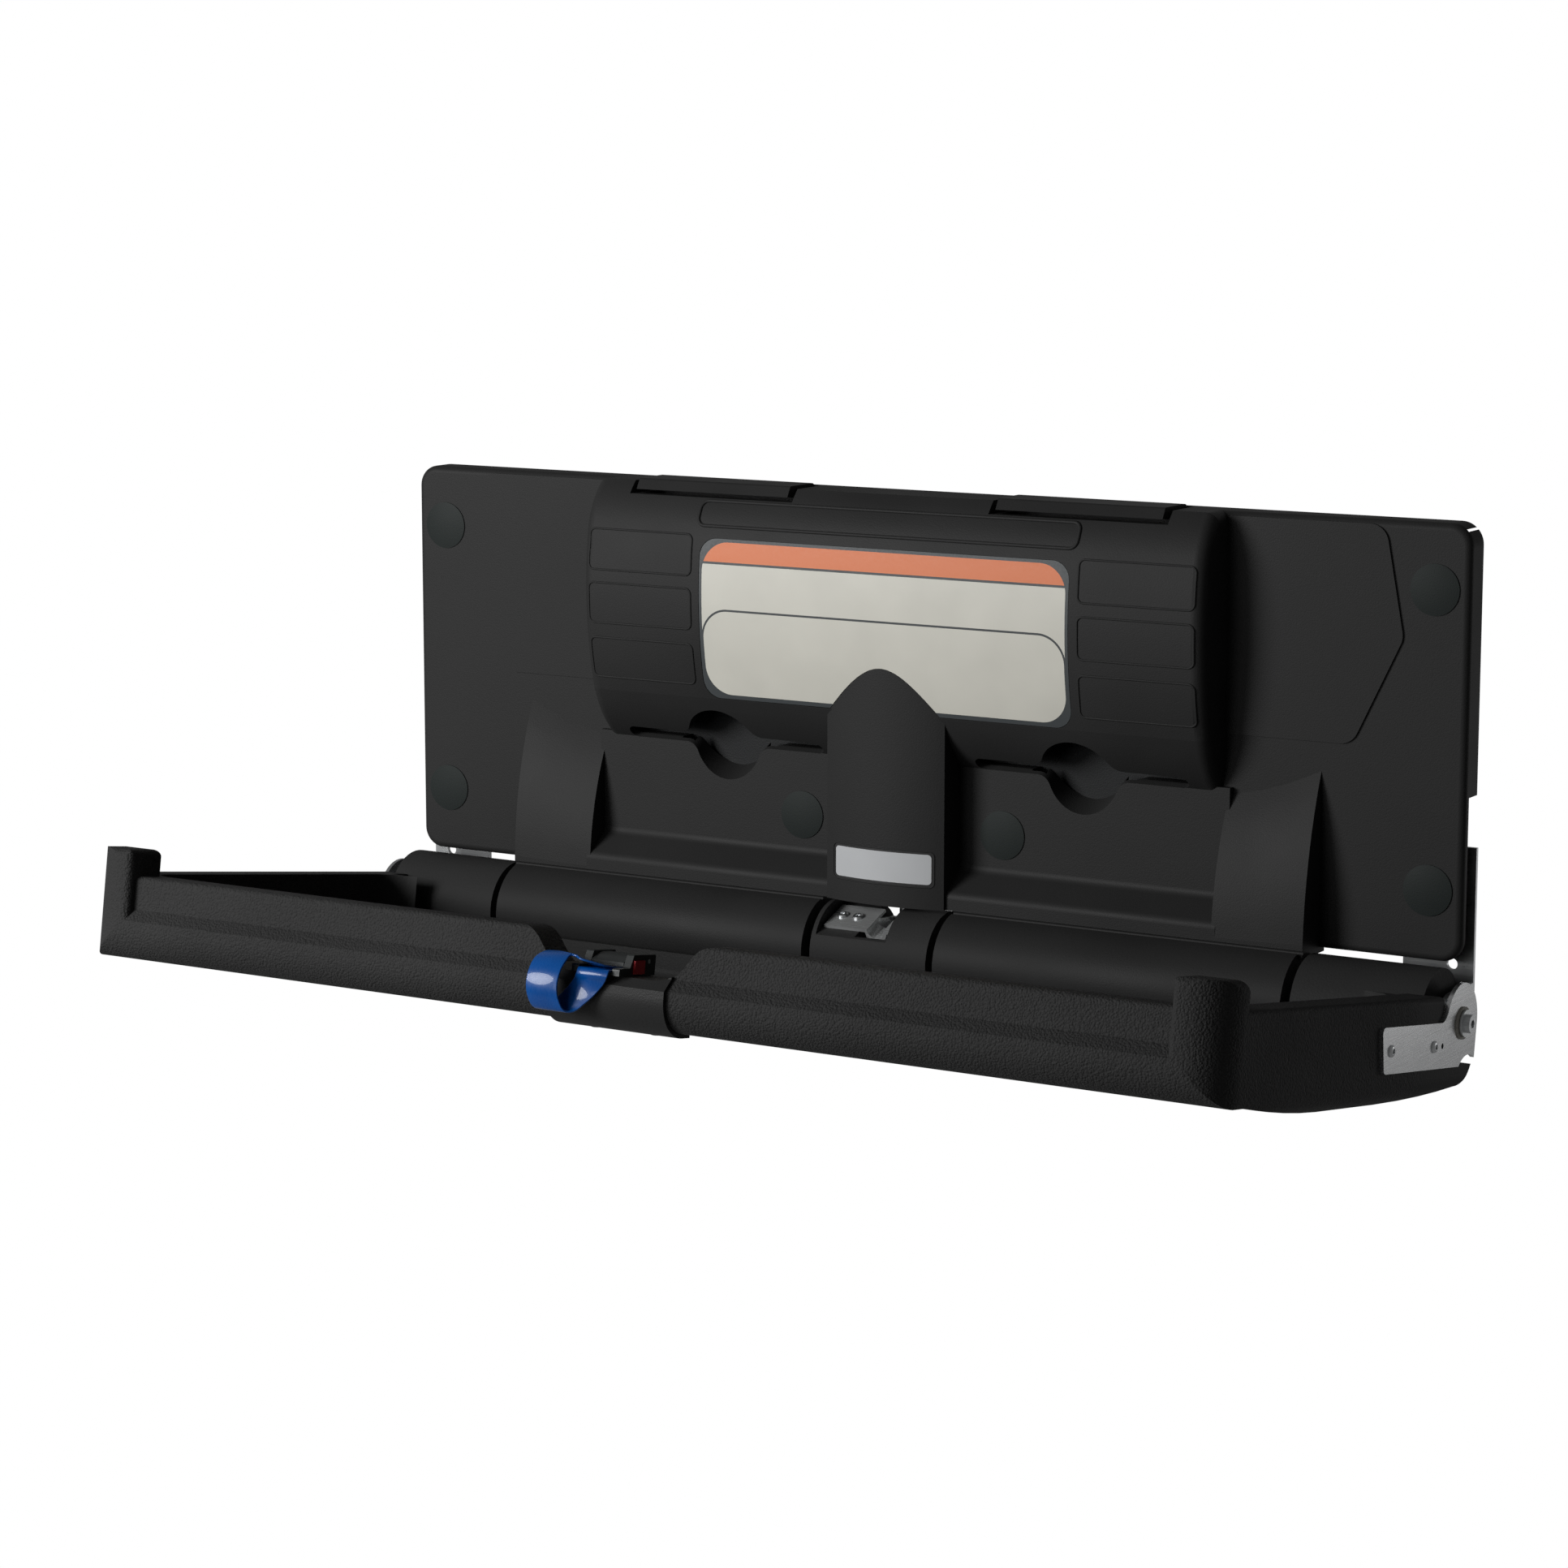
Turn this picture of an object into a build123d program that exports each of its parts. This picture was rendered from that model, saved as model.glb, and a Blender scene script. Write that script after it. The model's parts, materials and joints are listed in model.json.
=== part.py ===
"""Wall-mounted fold-down baby changing station, open.

All lengths are in millimetres. +X is to the right, +Y runs into the wall, +Z is up.
The origin lies on the wall plane, at the centre of the four outer wall-bolt holes.
A depth is how far a point stands out of the front face of the wall panel.
Places on the tray are given in its own axes from the hinge line: along the bed to the
front rail, and up out of the bed.
"""
import os
from math import asin, cos, radians, sin, sqrt

from build123d import *

# Wall panel of the back moulding
PANEL_W = 890.0
PANEL_TOP = 152.0
PANEL_BOTTOM = -155.5
PANEL_T = 22.0
PANEL_CORNER_R = 16.0
PANEL_EDGE_R = 5.0
WALL = 4.0
RIB = 3.0
RIB_STEP = 58.0
SIDE_STEP_Z = -39.0
SIDE_STEP_T = 7.0

# Raised side fields of the panel
PAD_RAISE = 1.5
PAD_TOP = 149.0
PAD_TOP_X = 382.0
PAD_WAIST_X = 397.0
PAD_WAIST_Z = 70.0
PAD_FOOT_X = 360.0
PAD_FOOT_Z = -7.0
PAD_CORNER_R = 14.0

# Wall bolt holes and their caps
BOLT_SPACING_X = 838.0
BOLT_SPACING_Z = 211.0
CENTRE_BOLT_SPACING = 172.0
CENTRE_BOLT_Z = -96.7
BOLT_HOLE_R = 4.5
BOSS_R = 19.0
CAP_SEAT_R = 15.0
CAP_SEAT_DEPTH = 12.0
CAP_R = 18.2
CAP_DOME = 2.2
CAP_RIM_T = 0.8
CAP_PLUG_R = 14.7
CAP_PLUG_LEN = 4.5
CAP_PLUG_WALL = 1.6

# Liner dispenser: a rounded hood across the middle of the panel
HOOD_HALF = 262.0
HOOD_TOP_D = 18.0
HOOD_SHOULDER_D = 38.0
HOOD_SHOULDER_Z = 114.5
HOOD_BELLY_D = 41.0
HOOD_BELLY_Z = 55.0
HOOD_CHIN_D = 31.0
HOOD_CHIN_Z = -9.5
HOOD_FOOT_D = 4.0
HOOD_FOOT_Z = -49.5
HOOD_BULGE = 2.5
HOOD_END_R = 9.0
HOOD_WALL = 3.6
HOOD_END_WALL = 8.0
DIVIDER_X = 58.5
DIVIDER_T = 3.0
CHUTE_HALF = 44.0

# Keyhole mouths that the liners are pulled through
MOUTH_X = 152.0
MOUTH_D = 17.0
MOUTH_Z = -47.5
MOUTH_R = 30.0
MOUTH_TILT = 26.0
MOUTH_SLOT_L = 173.0
MOUTH_SLOT_H = 12.0
MOUTH_FLARE_R = 11.0
MOUTH_SLEEVE_WALL = 3.0
MOUTH_SLEEVE_LEN = 20.0

# Lower skirt: recessed face, ledge and groove above the hinge barrels
RECESS_HALF = 266.0
RECESS_D = 5.5
LEDGE_TOP_Z = -125.0
LEDGE_D = 27.0
LEDGE_Z = -141.0
LEDGE_R = 7.0
SKIRT_FOOT_Z = -159.3
GROOVE_R = 1.6
WING_OUTER = 337.0
WING_TIP_Z = -28.0
WING_ROOT_Z = -50.5
WING_DEPTH = 27.0

# Centre column that covers the gas spring
COLUMN_HALF = 50.0
COLUMN_EDGE_D = 29.5
COLUMN_CROWN = 8.0
COLUMN_BOTTOM = -153.0
COLUMN_TOP = 60.0
COLUMN_WALL = 4.5
SHELF_Z = 14.0
SHELF_T = 5.0

# Hinge line
HINGE_Y = -42.0
HINGE_Z = -192.0
BARREL_R = 38.0
BARREL_WALL = 4.0
BARREL_INNER_X = 56.0
BARREL_OUTER_X = 334.0
BARREL_WEB = 6.0
BARREL_REAR_HALF = 24.0
KNUCKLE_R = 36.5
KNUCKLE_GAP = 2.0
CENTRE_KNUCKLE_HALF = 49.5
END_KNUCKLE_IN = 340.5
END_KNUCKLE_OUT = 438.0
ROD_R = 8.0
ROD_END_GAP = 0.3
RUN_FIT = 0.05
BODY_GAP = 0.3
BUSH_WALL = 3.0
BUSH_LEN = 14.0

# Lids over the liner compartments
LID_IN = 88.0
LID_OUT = 222.0
LID_TOP = 154.0
LID_H = 8.0
LID_FRONT_D = 20.0
LID_FRONT_SLANT = 4.7
LID_EDGE_R = 2.0
LID_WALL = 2.4
LID_PIN_R = 1.5
LID_PIN_Y = -11.0
LID_PIN_DROP = 5.5
LID_PIN_OVER = 5.0
LID_GAP = 1.2
LID_NOTCH_SIDE = 5.0
LID_SEAT_GAP = 3.5
LID_SHELF_T = 3.0
LID_SHELF_W = 5.0
LID_STOP_W = 8.0

# Rear covers of the liner compartments
COVER_T = 3.0
COVER_SEAT = 9.0
COVER_LAP = 3.0
COVER_GAP = 0.4
COVER_BOSS_R = 5.5
COVER_SHANK_LEN = 8.0

# Label and name plates, both bare
LABEL_HALF = 156.0
LABEL_TOP = 113.5
LABEL_BOTTOM = -8.5
LABEL_CORNER_R = 14.0
LABEL_T = 0.8
LABEL_SEAT = 1.0
LABEL_GAP = 0.4
NAME_W = 86.0
NAME_H = 27.0
NAME_Z = -123.0
NAME_R = 4.0
NAME_T = 0.8
NAME_SEAT = 1.0

# Steel wall brackets
BRACKET_T = 3.0
EAR_X = 444.0
EAR_R = 20.0
BRACKET_IN = 394.0
BRACKET_TOP_Z = -76.0
BRACKET_FOOT_Z = -214.0
BRACKET_HOLE_Z = -160.0
BRACKET_HOLE_X = 431.0
BRACKET_HOLE_R = 4.0
BRACKET_GAP = 0.4

# Tray: a hollow bed with a front rail, end walls and two corner hooks
TRAY_TILT = 9.2
CLOSE_ANGLE = 80.3
TRAY_HALF = 452.0
RAIL_FRONT = 380.0
BELLY_FRONT = 388.0
BELLY_STEP = 8.0
LEDGE_UP = -6.0
TRAY_CORNER_R = 30.0
RIM_UP = 18.0
NOSE_DOWN = 43.0
BELLY_DOWN = 54.0
TAIL_DOWN = 45.0
NOSE_R = 24.0
TAIL_BACK = 34.0
TAIL_R = 28.0
TRAY_SIDE_R = 16.0
BED_FLOOR_DOWN = 38.0
RAIL_IN = 354.0
END_WALL_T = 26.0
BED_REAR = 52.0
BED_REAR_UP = -16.0
BED_CORNER_R = 24.0
BED_FILLET_R = 9.0
END_WALL_REAR = 28.0
EAR_SWEEP_DOWN = 30.0
HOOK_UP = 37.0
HOOK_W = 38.0
HOOK_EDGE_R = 5.0
HOOK_OUTER_R = 9.0
RIM_EDGE_R = 4.0
TROUGH_GAP = 2.0
COLUMN_NOTCH_UP = -21.0
SKIN = 4.0
DIP_TOP_HALF = 77.0
DIP_MID_HALF = 56.0
DIP_MID_UP = 3.0
DIP_FOOT_HALF = 34.0
DIP_UP = -8.0
SADDLE_HALF = 48.0
SADDLE_T = 3.0
SADDLE_GAP = 0.2
SADDLE_LIP_UP = -30.0

# Steel end plates with their screws and pivots
PLATE_T = 3.0
ARM_END = 142.0
ARM_SLANT = 8.0
ARM_UP = 1.0
ARM_DOWN = 30.5
ARM_CORNER_R = 4.0
LOBE_R = 28.0
LOBE_FILLET_R = 12.0
HEEL_DOWN = 25.0
HEEL_SCALLOP = 5.0
PLATE_SCREW_ALONG = (125.0, 49.0)
PLATE_SCREW_DOWN = 15.0
PLATE_SPARE_ALONG = 33.0
SCREW_HEAD_R = 4.2
SCREW_HEAD_H = 2.2
SCREW_SHANK_R = 2.0
SCREW_SHANK_LEN = 12.0
SCREW_GAP = 0.15
PIVOT_SHOULDER_R = 6.0
PIVOT_THREAD_R = 4.0
PIVOT_THREAD_LEN = 18.0
PIVOT_FLANGE_R = 9.5
PIVOT_FLANGE_T = 1.6
PIVOT_HEAD_R = 6.5
PIVOT_HEAD_H = 4.4
PIVOT_SOCKET_R = 3.2
PIVOT_SOCKET_DEPTH = 2.8
PIVOT_BUSH_R = 8.0
PIVOT_BUSH_FLANGE_R = 11.5
PIVOT_BUSH_FLANGE_T = 1.5
WASHER_R = 11.0

# Gas spring and the crank bracket on the tray
CRANK_R = 27.0
PIN_R = 3.0
PIN_HEAD_R = 5.0
PIN_HEAD_T = 1.5
PIN_END_GAP = 0.3
CHEEK_IN = 7.0
CHEEK_T = 2.5
CHEEK_HUB_R = 13.0
CHEEK_EYE_R = 6.5
FLAT_LEAN = 30.2
FLAT_DIST = 26.1
FLAT_LEFT = 46.0
LEAF_T = 2.5
LEAF_OUT = 44.0
LEAF_HALF = 15.0
LEAF_REAR = 1.0
FLANGE_OUT = 13.8
TROUGH_IN_R = 7.0
TROUGH_DIST = 21.2
SLOT_HALF = 14.0
SLOT_UP = 0.0
SLOT_FRONT = 25.0
SLOT_FRONT_UP = 11.0
EYE_HALF_W = 5.5
EYE_WALL = 3.6
EYE_PLAY = 0.5
EYE_LIFT = 0.9
EYE_SHOULDER = 7.0
SPRING_ROD_R = 4.0
SPRING_BODY_R = 10.0
SPRING_BODY_Z = -154.5
SPRING_BODY_LEN = 110.0
SPRING_WALL = 1.6
SPRING_CAP_T = 6.0
SPRING_NECK_R = 4.0
SPRING_PIN_Z = -6.0
SPRING_EYE_R = 8.0
SPRING_EYE_HALF = 4.5
PISTON_T = 8.0
PISTON_GAP = 0.2
PISTON_DOWN = 45.0
CLEVIS_T = 3.0
CLEVIS_GAP = 0.4
CLEVIS_BASE_HALF = 20.0
CLEVIS_HALF_W = 9.0
CLEVIS_SCREW_X = 14.0

# Safety strap, cam buckle and anchor
STRAP_W = 25.0
STRAP_T = 1.4
STRAP_LIFT = 0.3
STRAP_END_ALONG = 364.0
BUCKLE_X = -6.5
BUCKLE_ALONG = 370.0
BUCKLE_HALF_L = 22.0
BUCKLE_HALF_W = 19.0
BUCKLE_H = 14.0
BUCKLE_WALL = 5.6
BUCKLE_BASE_T = 2.0
BUCKLE_LOW_H = 5.0
BUCKLE_LOW_L = 13.0
BUCKLE_SLOPE_L = 4.0
BUCKLE_EDGE_R = 1.2
LEVER_T = 2.6
LEVER_FLAT = 9.0
LEVER_NOSE = 13.0
LEVER_NOSE_DROP = 5.0
LEVER_GAP = 0.5
CAM_PIN_UP = 9.5
CAM_PIN_BACK = 8.0
CAM_R = 3.8
CAM_PIN_R = 1.6
BUTTON_AT = 1.0
BUTTON_HALF_L = 6.2
BUTTON_LOW = 1.2
BUTTON_H = 9.0
BUTTON_DEPTH = 3.0
BUTTON_PROUD = 1.4
BUTTON_TRAVEL = 1.1
BUTTON_GAP = 0.3
ANCHOR_W = 56.0
ANCHOR_L = 20.0
ANCHOR_T = 2.0
ANCHOR_ALONG = 78.0
ANCHOR_SCREW_X = 21.0
ANCHOR_SHANK_LEN = 5.0

# Places on the strap's hanging loop, in strap widths: X from the buckle, along from the
# rail's front face and up, then the turn in degrees of its width from the X axis
LOOP_SHARES = (
    (0.0, -0.32, -0.12, 0),
    (-0.18, -0.02, -0.05, 30),
    (-0.56, 0.12, 0.06, 52),
    (-0.94, 0.12, 0.13, 36),
    (-1.16, 0.24, 0.12, 12),
    (-1.22, 0.54, -0.06, 0),
    (-1.24, 0.76, -0.40, 0),
    (-1.24, 0.82, -0.78, 0),
    (-1.18, 0.76, -1.12, 0),
    (-1.06, 0.62, -1.36, 0),
    (-0.88, 0.46, -1.36, 0),
    (-0.64, 0.34, -1.14, 0),
    (-0.36, 0.25, -0.83, 0),
    (-0.10, 0.26, -0.50, 0),
    (0.0, 0.31, -0.32, 0),
)
# Places where it drops into the bed, in strap widths: back from the rail's inner face and up
DROP_SHARES = (
    (0.36, -0.22),
    (0.42, -0.30),
    (0.44, -0.50),
    (0.44, -1.00),
    (0.50, -1.30),
    (0.72, -1.46),
)

# One length that every cut runs past the face it opens
OVERRUN = 2.0

os.makedirs("parts", exist_ok=True)

FACE_Y = -PANEL_T
SIDES = ((-1, "left"), (1, "right"))
BASE_DOWN = (Align.CENTER, Align.CENTER, Align.MIN)


def side_plane(x):
    """A plane square to X: its own x is world Y and its own y is world Z."""
    return Plane(origin=(x, 0, 0), x_dir=(0, 1, 0), z_dir=(1, 0, 0))


def front_plane(y):
    """A plane square to Y that faces the room: extruding it goes out of the wall."""
    return Plane(origin=(0, y, 0), x_dir=(1, 0, 0), z_dir=(0, -1, 0))


def depth(d):
    """World Y of a point that stands out of the panel's face by d."""
    return FACE_Y - d


def block(low, high, mode=Mode.ADD):
    """A box between two opposite corners, in any order along each axis."""
    size = [abs(b - a) for a, b in zip(low, high)]
    middle = tuple((a + b) / 2 for a, b in zip(low, high))
    with Locations(middle):
        Box(*size, mode=mode)


def bar_x(x, y, z, radius, length, mode=Mode.ADD):
    """A round bar along X from a point, to the left where the length is negative."""
    way = 1 if length > 0 else -1
    with Locations(Plane(origin=(x, y, z), x_dir=(0, 1, 0), z_dir=(way, 0, 0))):
        Cylinder(radius, abs(length), align=BASE_DOWN, mode=mode)


def bar_y(x, z, y, radius, length, mode=Mode.ADD):
    """A round bar square to the wall, from a depth y out towards the room."""
    with Locations(Plane(origin=(x, y, z), x_dir=(1, 0, 0), z_dir=(0, -1, 0))):
        Cylinder(radius, length, align=BASE_DOWN, mode=mode)


def save(item, name):
    """Labels a finished piece and writes it."""
    item.part.label = name
    export_step(item.part, "parts/" + name + ".step")


bolt_x = BOLT_SPACING_X / 2
bolt_z = BOLT_SPACING_Z / 2
outer_bolts = [(sx * bolt_x, sz * bolt_z) for sz in (1, -1) for sx in (-1, 1)]
centre_bolts = [(sx * CENTRE_BOLT_SPACING / 2, CENTRE_BOLT_Z) for sx in (-1, 1)]
recess_y = depth(RECESS_D)


def hood_outline(inset):
    """The hood's outline in a side plane, drawn in by a wall all round."""
    inner = FACE_Y / 2
    brow = (depth(HOOD_TOP_D - inset), PANEL_TOP - inset)
    shoulder = (depth(HOOD_SHOULDER_D - inset), HOOD_SHOULDER_Z)
    belly = (depth(HOOD_BELLY_D - inset), HOOD_BELLY_Z)
    chin = (depth(HOOD_CHIN_D - inset), HOOD_CHIN_Z)
    toe = (depth(HOOD_FOOT_D - inset), HOOD_FOOT_Z + inset)
    brow_mid = ((brow[0] + shoulder[0]) / 2 - HOOD_BULGE, (brow[1] + shoulder[1]) / 2 + HOOD_BULGE)
    toe_mid = ((chin[0] + toe[0]) / 2 - HOOD_BULGE, (chin[1] + toe[1]) / 2 - HOOD_BULGE)
    with BuildLine() as outline:
        Line((inner, toe[1]), (inner, brow[1]))
        Line((inner, brow[1]), brow)
        ThreePointArc(brow, brow_mid, shoulder)
        ThreePointArc(shoulder, belly, chin)
        ThreePointArc(chin, toe_mid, toe)
        Line(toe, (inner, toe[1]))
    return outline.edges()


def hood_band(outer, inner):
    """The strip between two depths of the hood's main curve, in a side plane."""
    ends = []
    with BuildLine() as outline:
        for inset in (outer, inner):
            shoulder = (depth(HOOD_SHOULDER_D - inset), HOOD_SHOULDER_Z)
            belly = (depth(HOOD_BELLY_D - inset), HOOD_BELLY_Z)
            chin = (depth(HOOD_CHIN_D - inset), HOOD_CHIN_Z)
            ThreePointArc(shoulder, belly, chin)
            ends.append((shoulder, chin))
        Line(ends[0][0], ends[1][0])
        Line(ends[0][1], ends[1][1])
    return outline.edges()


def column_outline(inset):
    """The column's section in plan: flat sides and a crowned front."""
    half = COLUMN_HALF - inset
    edge = depth(COLUMN_EDGE_D - inset)
    crown = depth(COLUMN_EDGE_D + COLUMN_CROWN - inset)
    with BuildLine() as outline:
        Line((-half, FACE_Y / 2), (-half, edge))
        ThreePointArc((-half, edge), (0, crown), (half, edge))
        Line((half, edge), (half, FACE_Y / 2))
        Line((half, FACE_Y / 2), (-half, FACE_Y / 2))
    return outline.edges()


def crown_band(half, outer, inner):
    """The strip in plan between two depths of the column's crowned front."""
    radius = (COLUMN_HALF**2 + COLUMN_CROWN**2) / (2 * COLUMN_CROWN)
    drop = radius - sqrt(radius**2 - half**2)
    crown = depth(COLUMN_EDGE_D + COLUMN_CROWN)
    with BuildLine() as outline:
        for inset in (outer, inner):
            y = crown + inset
            ThreePointArc((-half, y + drop), (0, y), (half, y + drop))
        Line((-half, crown + drop + outer), (-half, crown + drop + inner))
        Line((half, crown + drop + outer), (half, crown + drop + inner))
    return outline.edges()


# The hood as a solid, with its ends rounded
with BuildPart() as hood_form:
    with BuildSketch(side_plane(-HOOD_HALF)):
        make_face(hood_outline(0))
    extrude(amount=2 * HOOD_HALF)
    rounded = [
        e
        for e in hood_form.edges()
        if abs(abs(e.center().X) - HOOD_HALF) < GROOVE_R and e.center().Y < depth(HOOD_FOOT_D / 2)
    ]
    fillet(rounded, HOOD_END_R)

# The column as a solid
with BuildPart() as column_form:
    with BuildSketch(Plane.XY.offset(COLUMN_BOTTOM)):
        make_face(column_outline(0))
    extrude(amount=COLUMN_TOP - COLUMN_BOTTOM)

# The skirt between the wings: recessed face, then a ledge above the hinge barrels
skirt_half = RECESS_HALF + RIB
with BuildPart() as skirt_form:
    with BuildSketch(side_plane(-skirt_half)):
        with BuildLine():
            Polyline(
                (FACE_Y / 2, HOOD_FOOT_Z + WALL),
                (recess_y, HOOD_FOOT_Z + WALL),
                (recess_y, LEDGE_TOP_Z),
                (depth(LEDGE_D), LEDGE_Z),
                (depth(LEDGE_D), SKIRT_FOOT_Z),
                (FACE_Y / 2, SKIRT_FOOT_Z),
                close=True,
            )
        make_face()
    extrude(amount=2 * skirt_half)
    bends = [
        e
        for e in skirt_form.edges().filter_by(Axis.X)
        if abs(e.center().Z - LEDGE_Z) < GROOVE_R or abs(e.center().Z - LEDGE_TOP_Z) < GROOVE_R
    ]
    fillet(bends, LEDGE_R)


def wing_outline(tip_z):
    """One section of a wing: it rises out of the panel and swells towards the hinge."""
    swell_depth_share = 0.58
    swell_drop_share = 0.34
    foot_share = 0.92
    height = tip_z - SKIRT_FOOT_Z
    front = depth(WING_DEPTH)
    foot = tip_z - foot_share * height
    swell = (depth(swell_depth_share * WING_DEPTH), tip_z - swell_drop_share * height)
    with BuildLine() as outline:
        Line((FACE_Y / 2, SKIRT_FOOT_Z), (FACE_Y / 2, tip_z))
        Line((FACE_Y / 2, tip_z), (FACE_Y, tip_z))
        ThreePointArc((FACE_Y, tip_z), swell, (front, foot))
        Line((front, foot), (front, SKIRT_FOOT_Z))
        Line((front, SKIRT_FOOT_Z), (FACE_Y / 2, SKIRT_FOOT_Z))
    return outline.edges()


# The wings, one on each side of the recess
wing_across_shares = (0.0, 0.5, 1.0)
wing_rise_shares = (0.0, 0.35, 1.0)
wing_forms = []
for side, side_name in SIDES:
    with BuildPart() as wing_form:
        for across, rise in zip(wing_across_shares, wing_rise_shares):
            wing_x = RECESS_HALF + across * (WING_OUTER - RECESS_HALF)
            wing_tip = WING_ROOT_Z + rise * (WING_TIP_Z - WING_ROOT_Z)
            with BuildSketch(side_plane(side * wing_x)):
                make_face(wing_outline(wing_tip))
        loft()
    wing_forms.append(wing_form)

# The keyhole mouths as a cutter, a slot with a round hole flared into its middle
mouth_normal = (0, -cos(radians(MOUTH_TILT)), -sin(radians(MOUTH_TILT)))


def mouth_plane(side):
    """The slanted plane of one keyhole, facing down and out."""
    centre = (side * MOUTH_X, depth(MOUTH_D), MOUTH_Z)
    return Plane(origin=centre, x_dir=(1, 0, 0), z_dir=mouth_normal)


mouth_reach = 2 * MOUTH_D
mouth_back = MOUTH_SLEEVE_LEN + OVERRUN
with BuildPart() as mouth_cut:
    for side, side_name in SIDES:
        with BuildSketch(mouth_plane(side).offset(-mouth_back)) as keyhole:
            Circle(MOUTH_R)
            SlotOverall(MOUTH_SLOT_L, MOUTH_SLOT_H)
            flares = [v for v in keyhole.vertices() if abs(v.X) < MOUTH_R and abs(v.Y) > OVERRUN]
            fillet(flares, MOUTH_FLARE_R)
        extrude(amount=mouth_back + mouth_reach)

# The liner compartments as a cutter, each with a chute down to its mouth
shelf_in = LID_IN - LID_NOTCH_SIDE
shelf_out = LID_OUT + LID_NOTCH_SIDE
shelf_top = LID_TOP - LID_H - LID_SEAT_GAP
shelf_bottom = shelf_top - LID_SHELF_T
room_in = DIVIDER_X + DIVIDER_T / 2
room_out = HOOD_HALF - HOOD_END_WALL
room_foot = HOOD_FOOT_Z + HOOD_WALL
chute_foot = MOUTH_Z - MOUTH_R - WALL
boss_in = COVER_BOSS_R - SCREW_SHANK_R
cover_screws = [
    (side * x, z)
    for side in (-1, 1)
    for x in (room_in + boss_in, room_out - boss_in)
    for z in (shelf_bottom - SCREW_HEAD_R - BODY_GAP, room_foot + MOUTH_SLOT_H + COVER_BOSS_R)
]
with BuildPart() as rooms_cut:
    for side, side_name in SIDES:
        with BuildSketch(side_plane(side * room_in)):
            make_face(hood_outline(HOOD_WALL))
        extrude(amount=side * (room_out - room_in))
        block(
            (side * room_in, FACE_Y / 2 - OVERRUN, room_foot),
            (side * room_out, -COVER_SEAT, shelf_bottom),
        )
        block(
            (side * (MOUTH_X - CHUTE_HALF), recess_y + HOOD_WALL, chute_foot),
            (side * (MOUTH_X + CHUTE_HALF), -COVER_SEAT, room_foot + OVERRUN),
        )
        block(
            (side * (shelf_in - WALL), depth(HOOD_BELLY_D), shelf_bottom),
            (side * (shelf_out + WALL), 0, PANEL_TOP),
            mode=Mode.SUBTRACT,
        )
        with Locations(mouth_plane(side).offset(-MOUTH_SLEEVE_LEN)):
            Cylinder(
                MOUTH_R + MOUTH_SLEEVE_WALL,
                MOUTH_SLEEVE_LEN + mouth_reach,
                align=BASE_DOWN,
                mode=Mode.SUBTRACT,
            )
    for x, z in cover_screws:
        bar_y(x, z, 0, COVER_BOSS_R, HOOD_BELLY_D + PANEL_T, mode=Mode.SUBTRACT)

# Rear seats that the compartment covers lie in
cover_in = room_in - DIVIDER_T
cover_out = room_out + COVER_LAP
cover_foot = chute_foot - COVER_LAP
cover_top = shelf_bottom

# Pockets that open to the wall, with ribs left between them
foot_from = CENTRE_BOLT_SPACING / 2 + BOSS_R + RIB
with BuildPart() as pockets_cut:
    side_from = HOOD_HALF + RIB
    side_to = PANEL_W / 2 - WALL
    cells = max(1, round((side_to - side_from) / RIB_STEP))
    cell = (side_to - side_from - RIB * (cells - 1)) / cells
    rows = ((PANEL_BOTTOM + WALL, SIDE_STEP_Z - RIB), (SIDE_STEP_Z, PANEL_TOP - WALL))
    foot_cells = max(1, round((RECESS_HALF - foot_from) / RIB_STEP))
    foot_cell = (RECESS_HALF - foot_from - RIB * (foot_cells - 1)) / foot_cells
    for side, side_name in SIDES:
        for index in range(cells):
            near = side_from + index * (cell + RIB)
            for low, high in rows:
                block((side * near, 0, low), (side * (near + cell), FACE_Y + WALL, high))
        block(
            (side * (RECESS_HALF + WALL), 0, PANEL_BOTTOM + WALL + RIB),
            (side * (WING_OUTER - WALL), depth(WING_DEPTH) + WALL + RIB, LEDGE_TOP_Z + LEDGE_R),
        )
        for index in range(foot_cells):
            near = foot_from + index * (foot_cell + RIB)
            far = near + foot_cell
            block(
                (side * near, 0, PANEL_BOTTOM + WALL),
                (side * far, recess_y + WALL, cover_foot - RIB),
            )
            block(
                (side * near, 0, PANEL_BOTTOM + WALL),
                (side * far, depth(LEDGE_D) + WALL, LEDGE_Z - RIB),
            )
    for bolt in outer_bolts:
        bar_y(bolt[0], bolt[1], 0, BOSS_R, PANEL_T, mode=Mode.SUBTRACT)

# The bay behind the column, open to the wall and at its foot, under a shelf
bay_half = COLUMN_HALF - COLUMN_WALL
bay_foot = SKIRT_FOOT_Z - OVERRUN
shelf_under = SHELF_Z - SHELF_T
with BuildPart() as bay_cut:
    with BuildSketch(Plane.XY.offset(bay_foot)):
        make_face(column_outline(COLUMN_WALL))
    extrude(amount=shelf_under - bay_foot)
    with BuildSketch(side_plane(-bay_half)):
        make_face(hood_outline(HOOD_WALL))
    extrude(amount=2 * bay_half)
    block((-bay_half, FACE_Y / 2 - OVERRUN, bay_foot), (bay_half, 0, PANEL_TOP - HOOD_WALL))
    block((-bay_half, 0, shelf_under), (bay_half, depth(HOOD_BELLY_D), SHELF_Z), mode=Mode.SUBTRACT)

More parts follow.
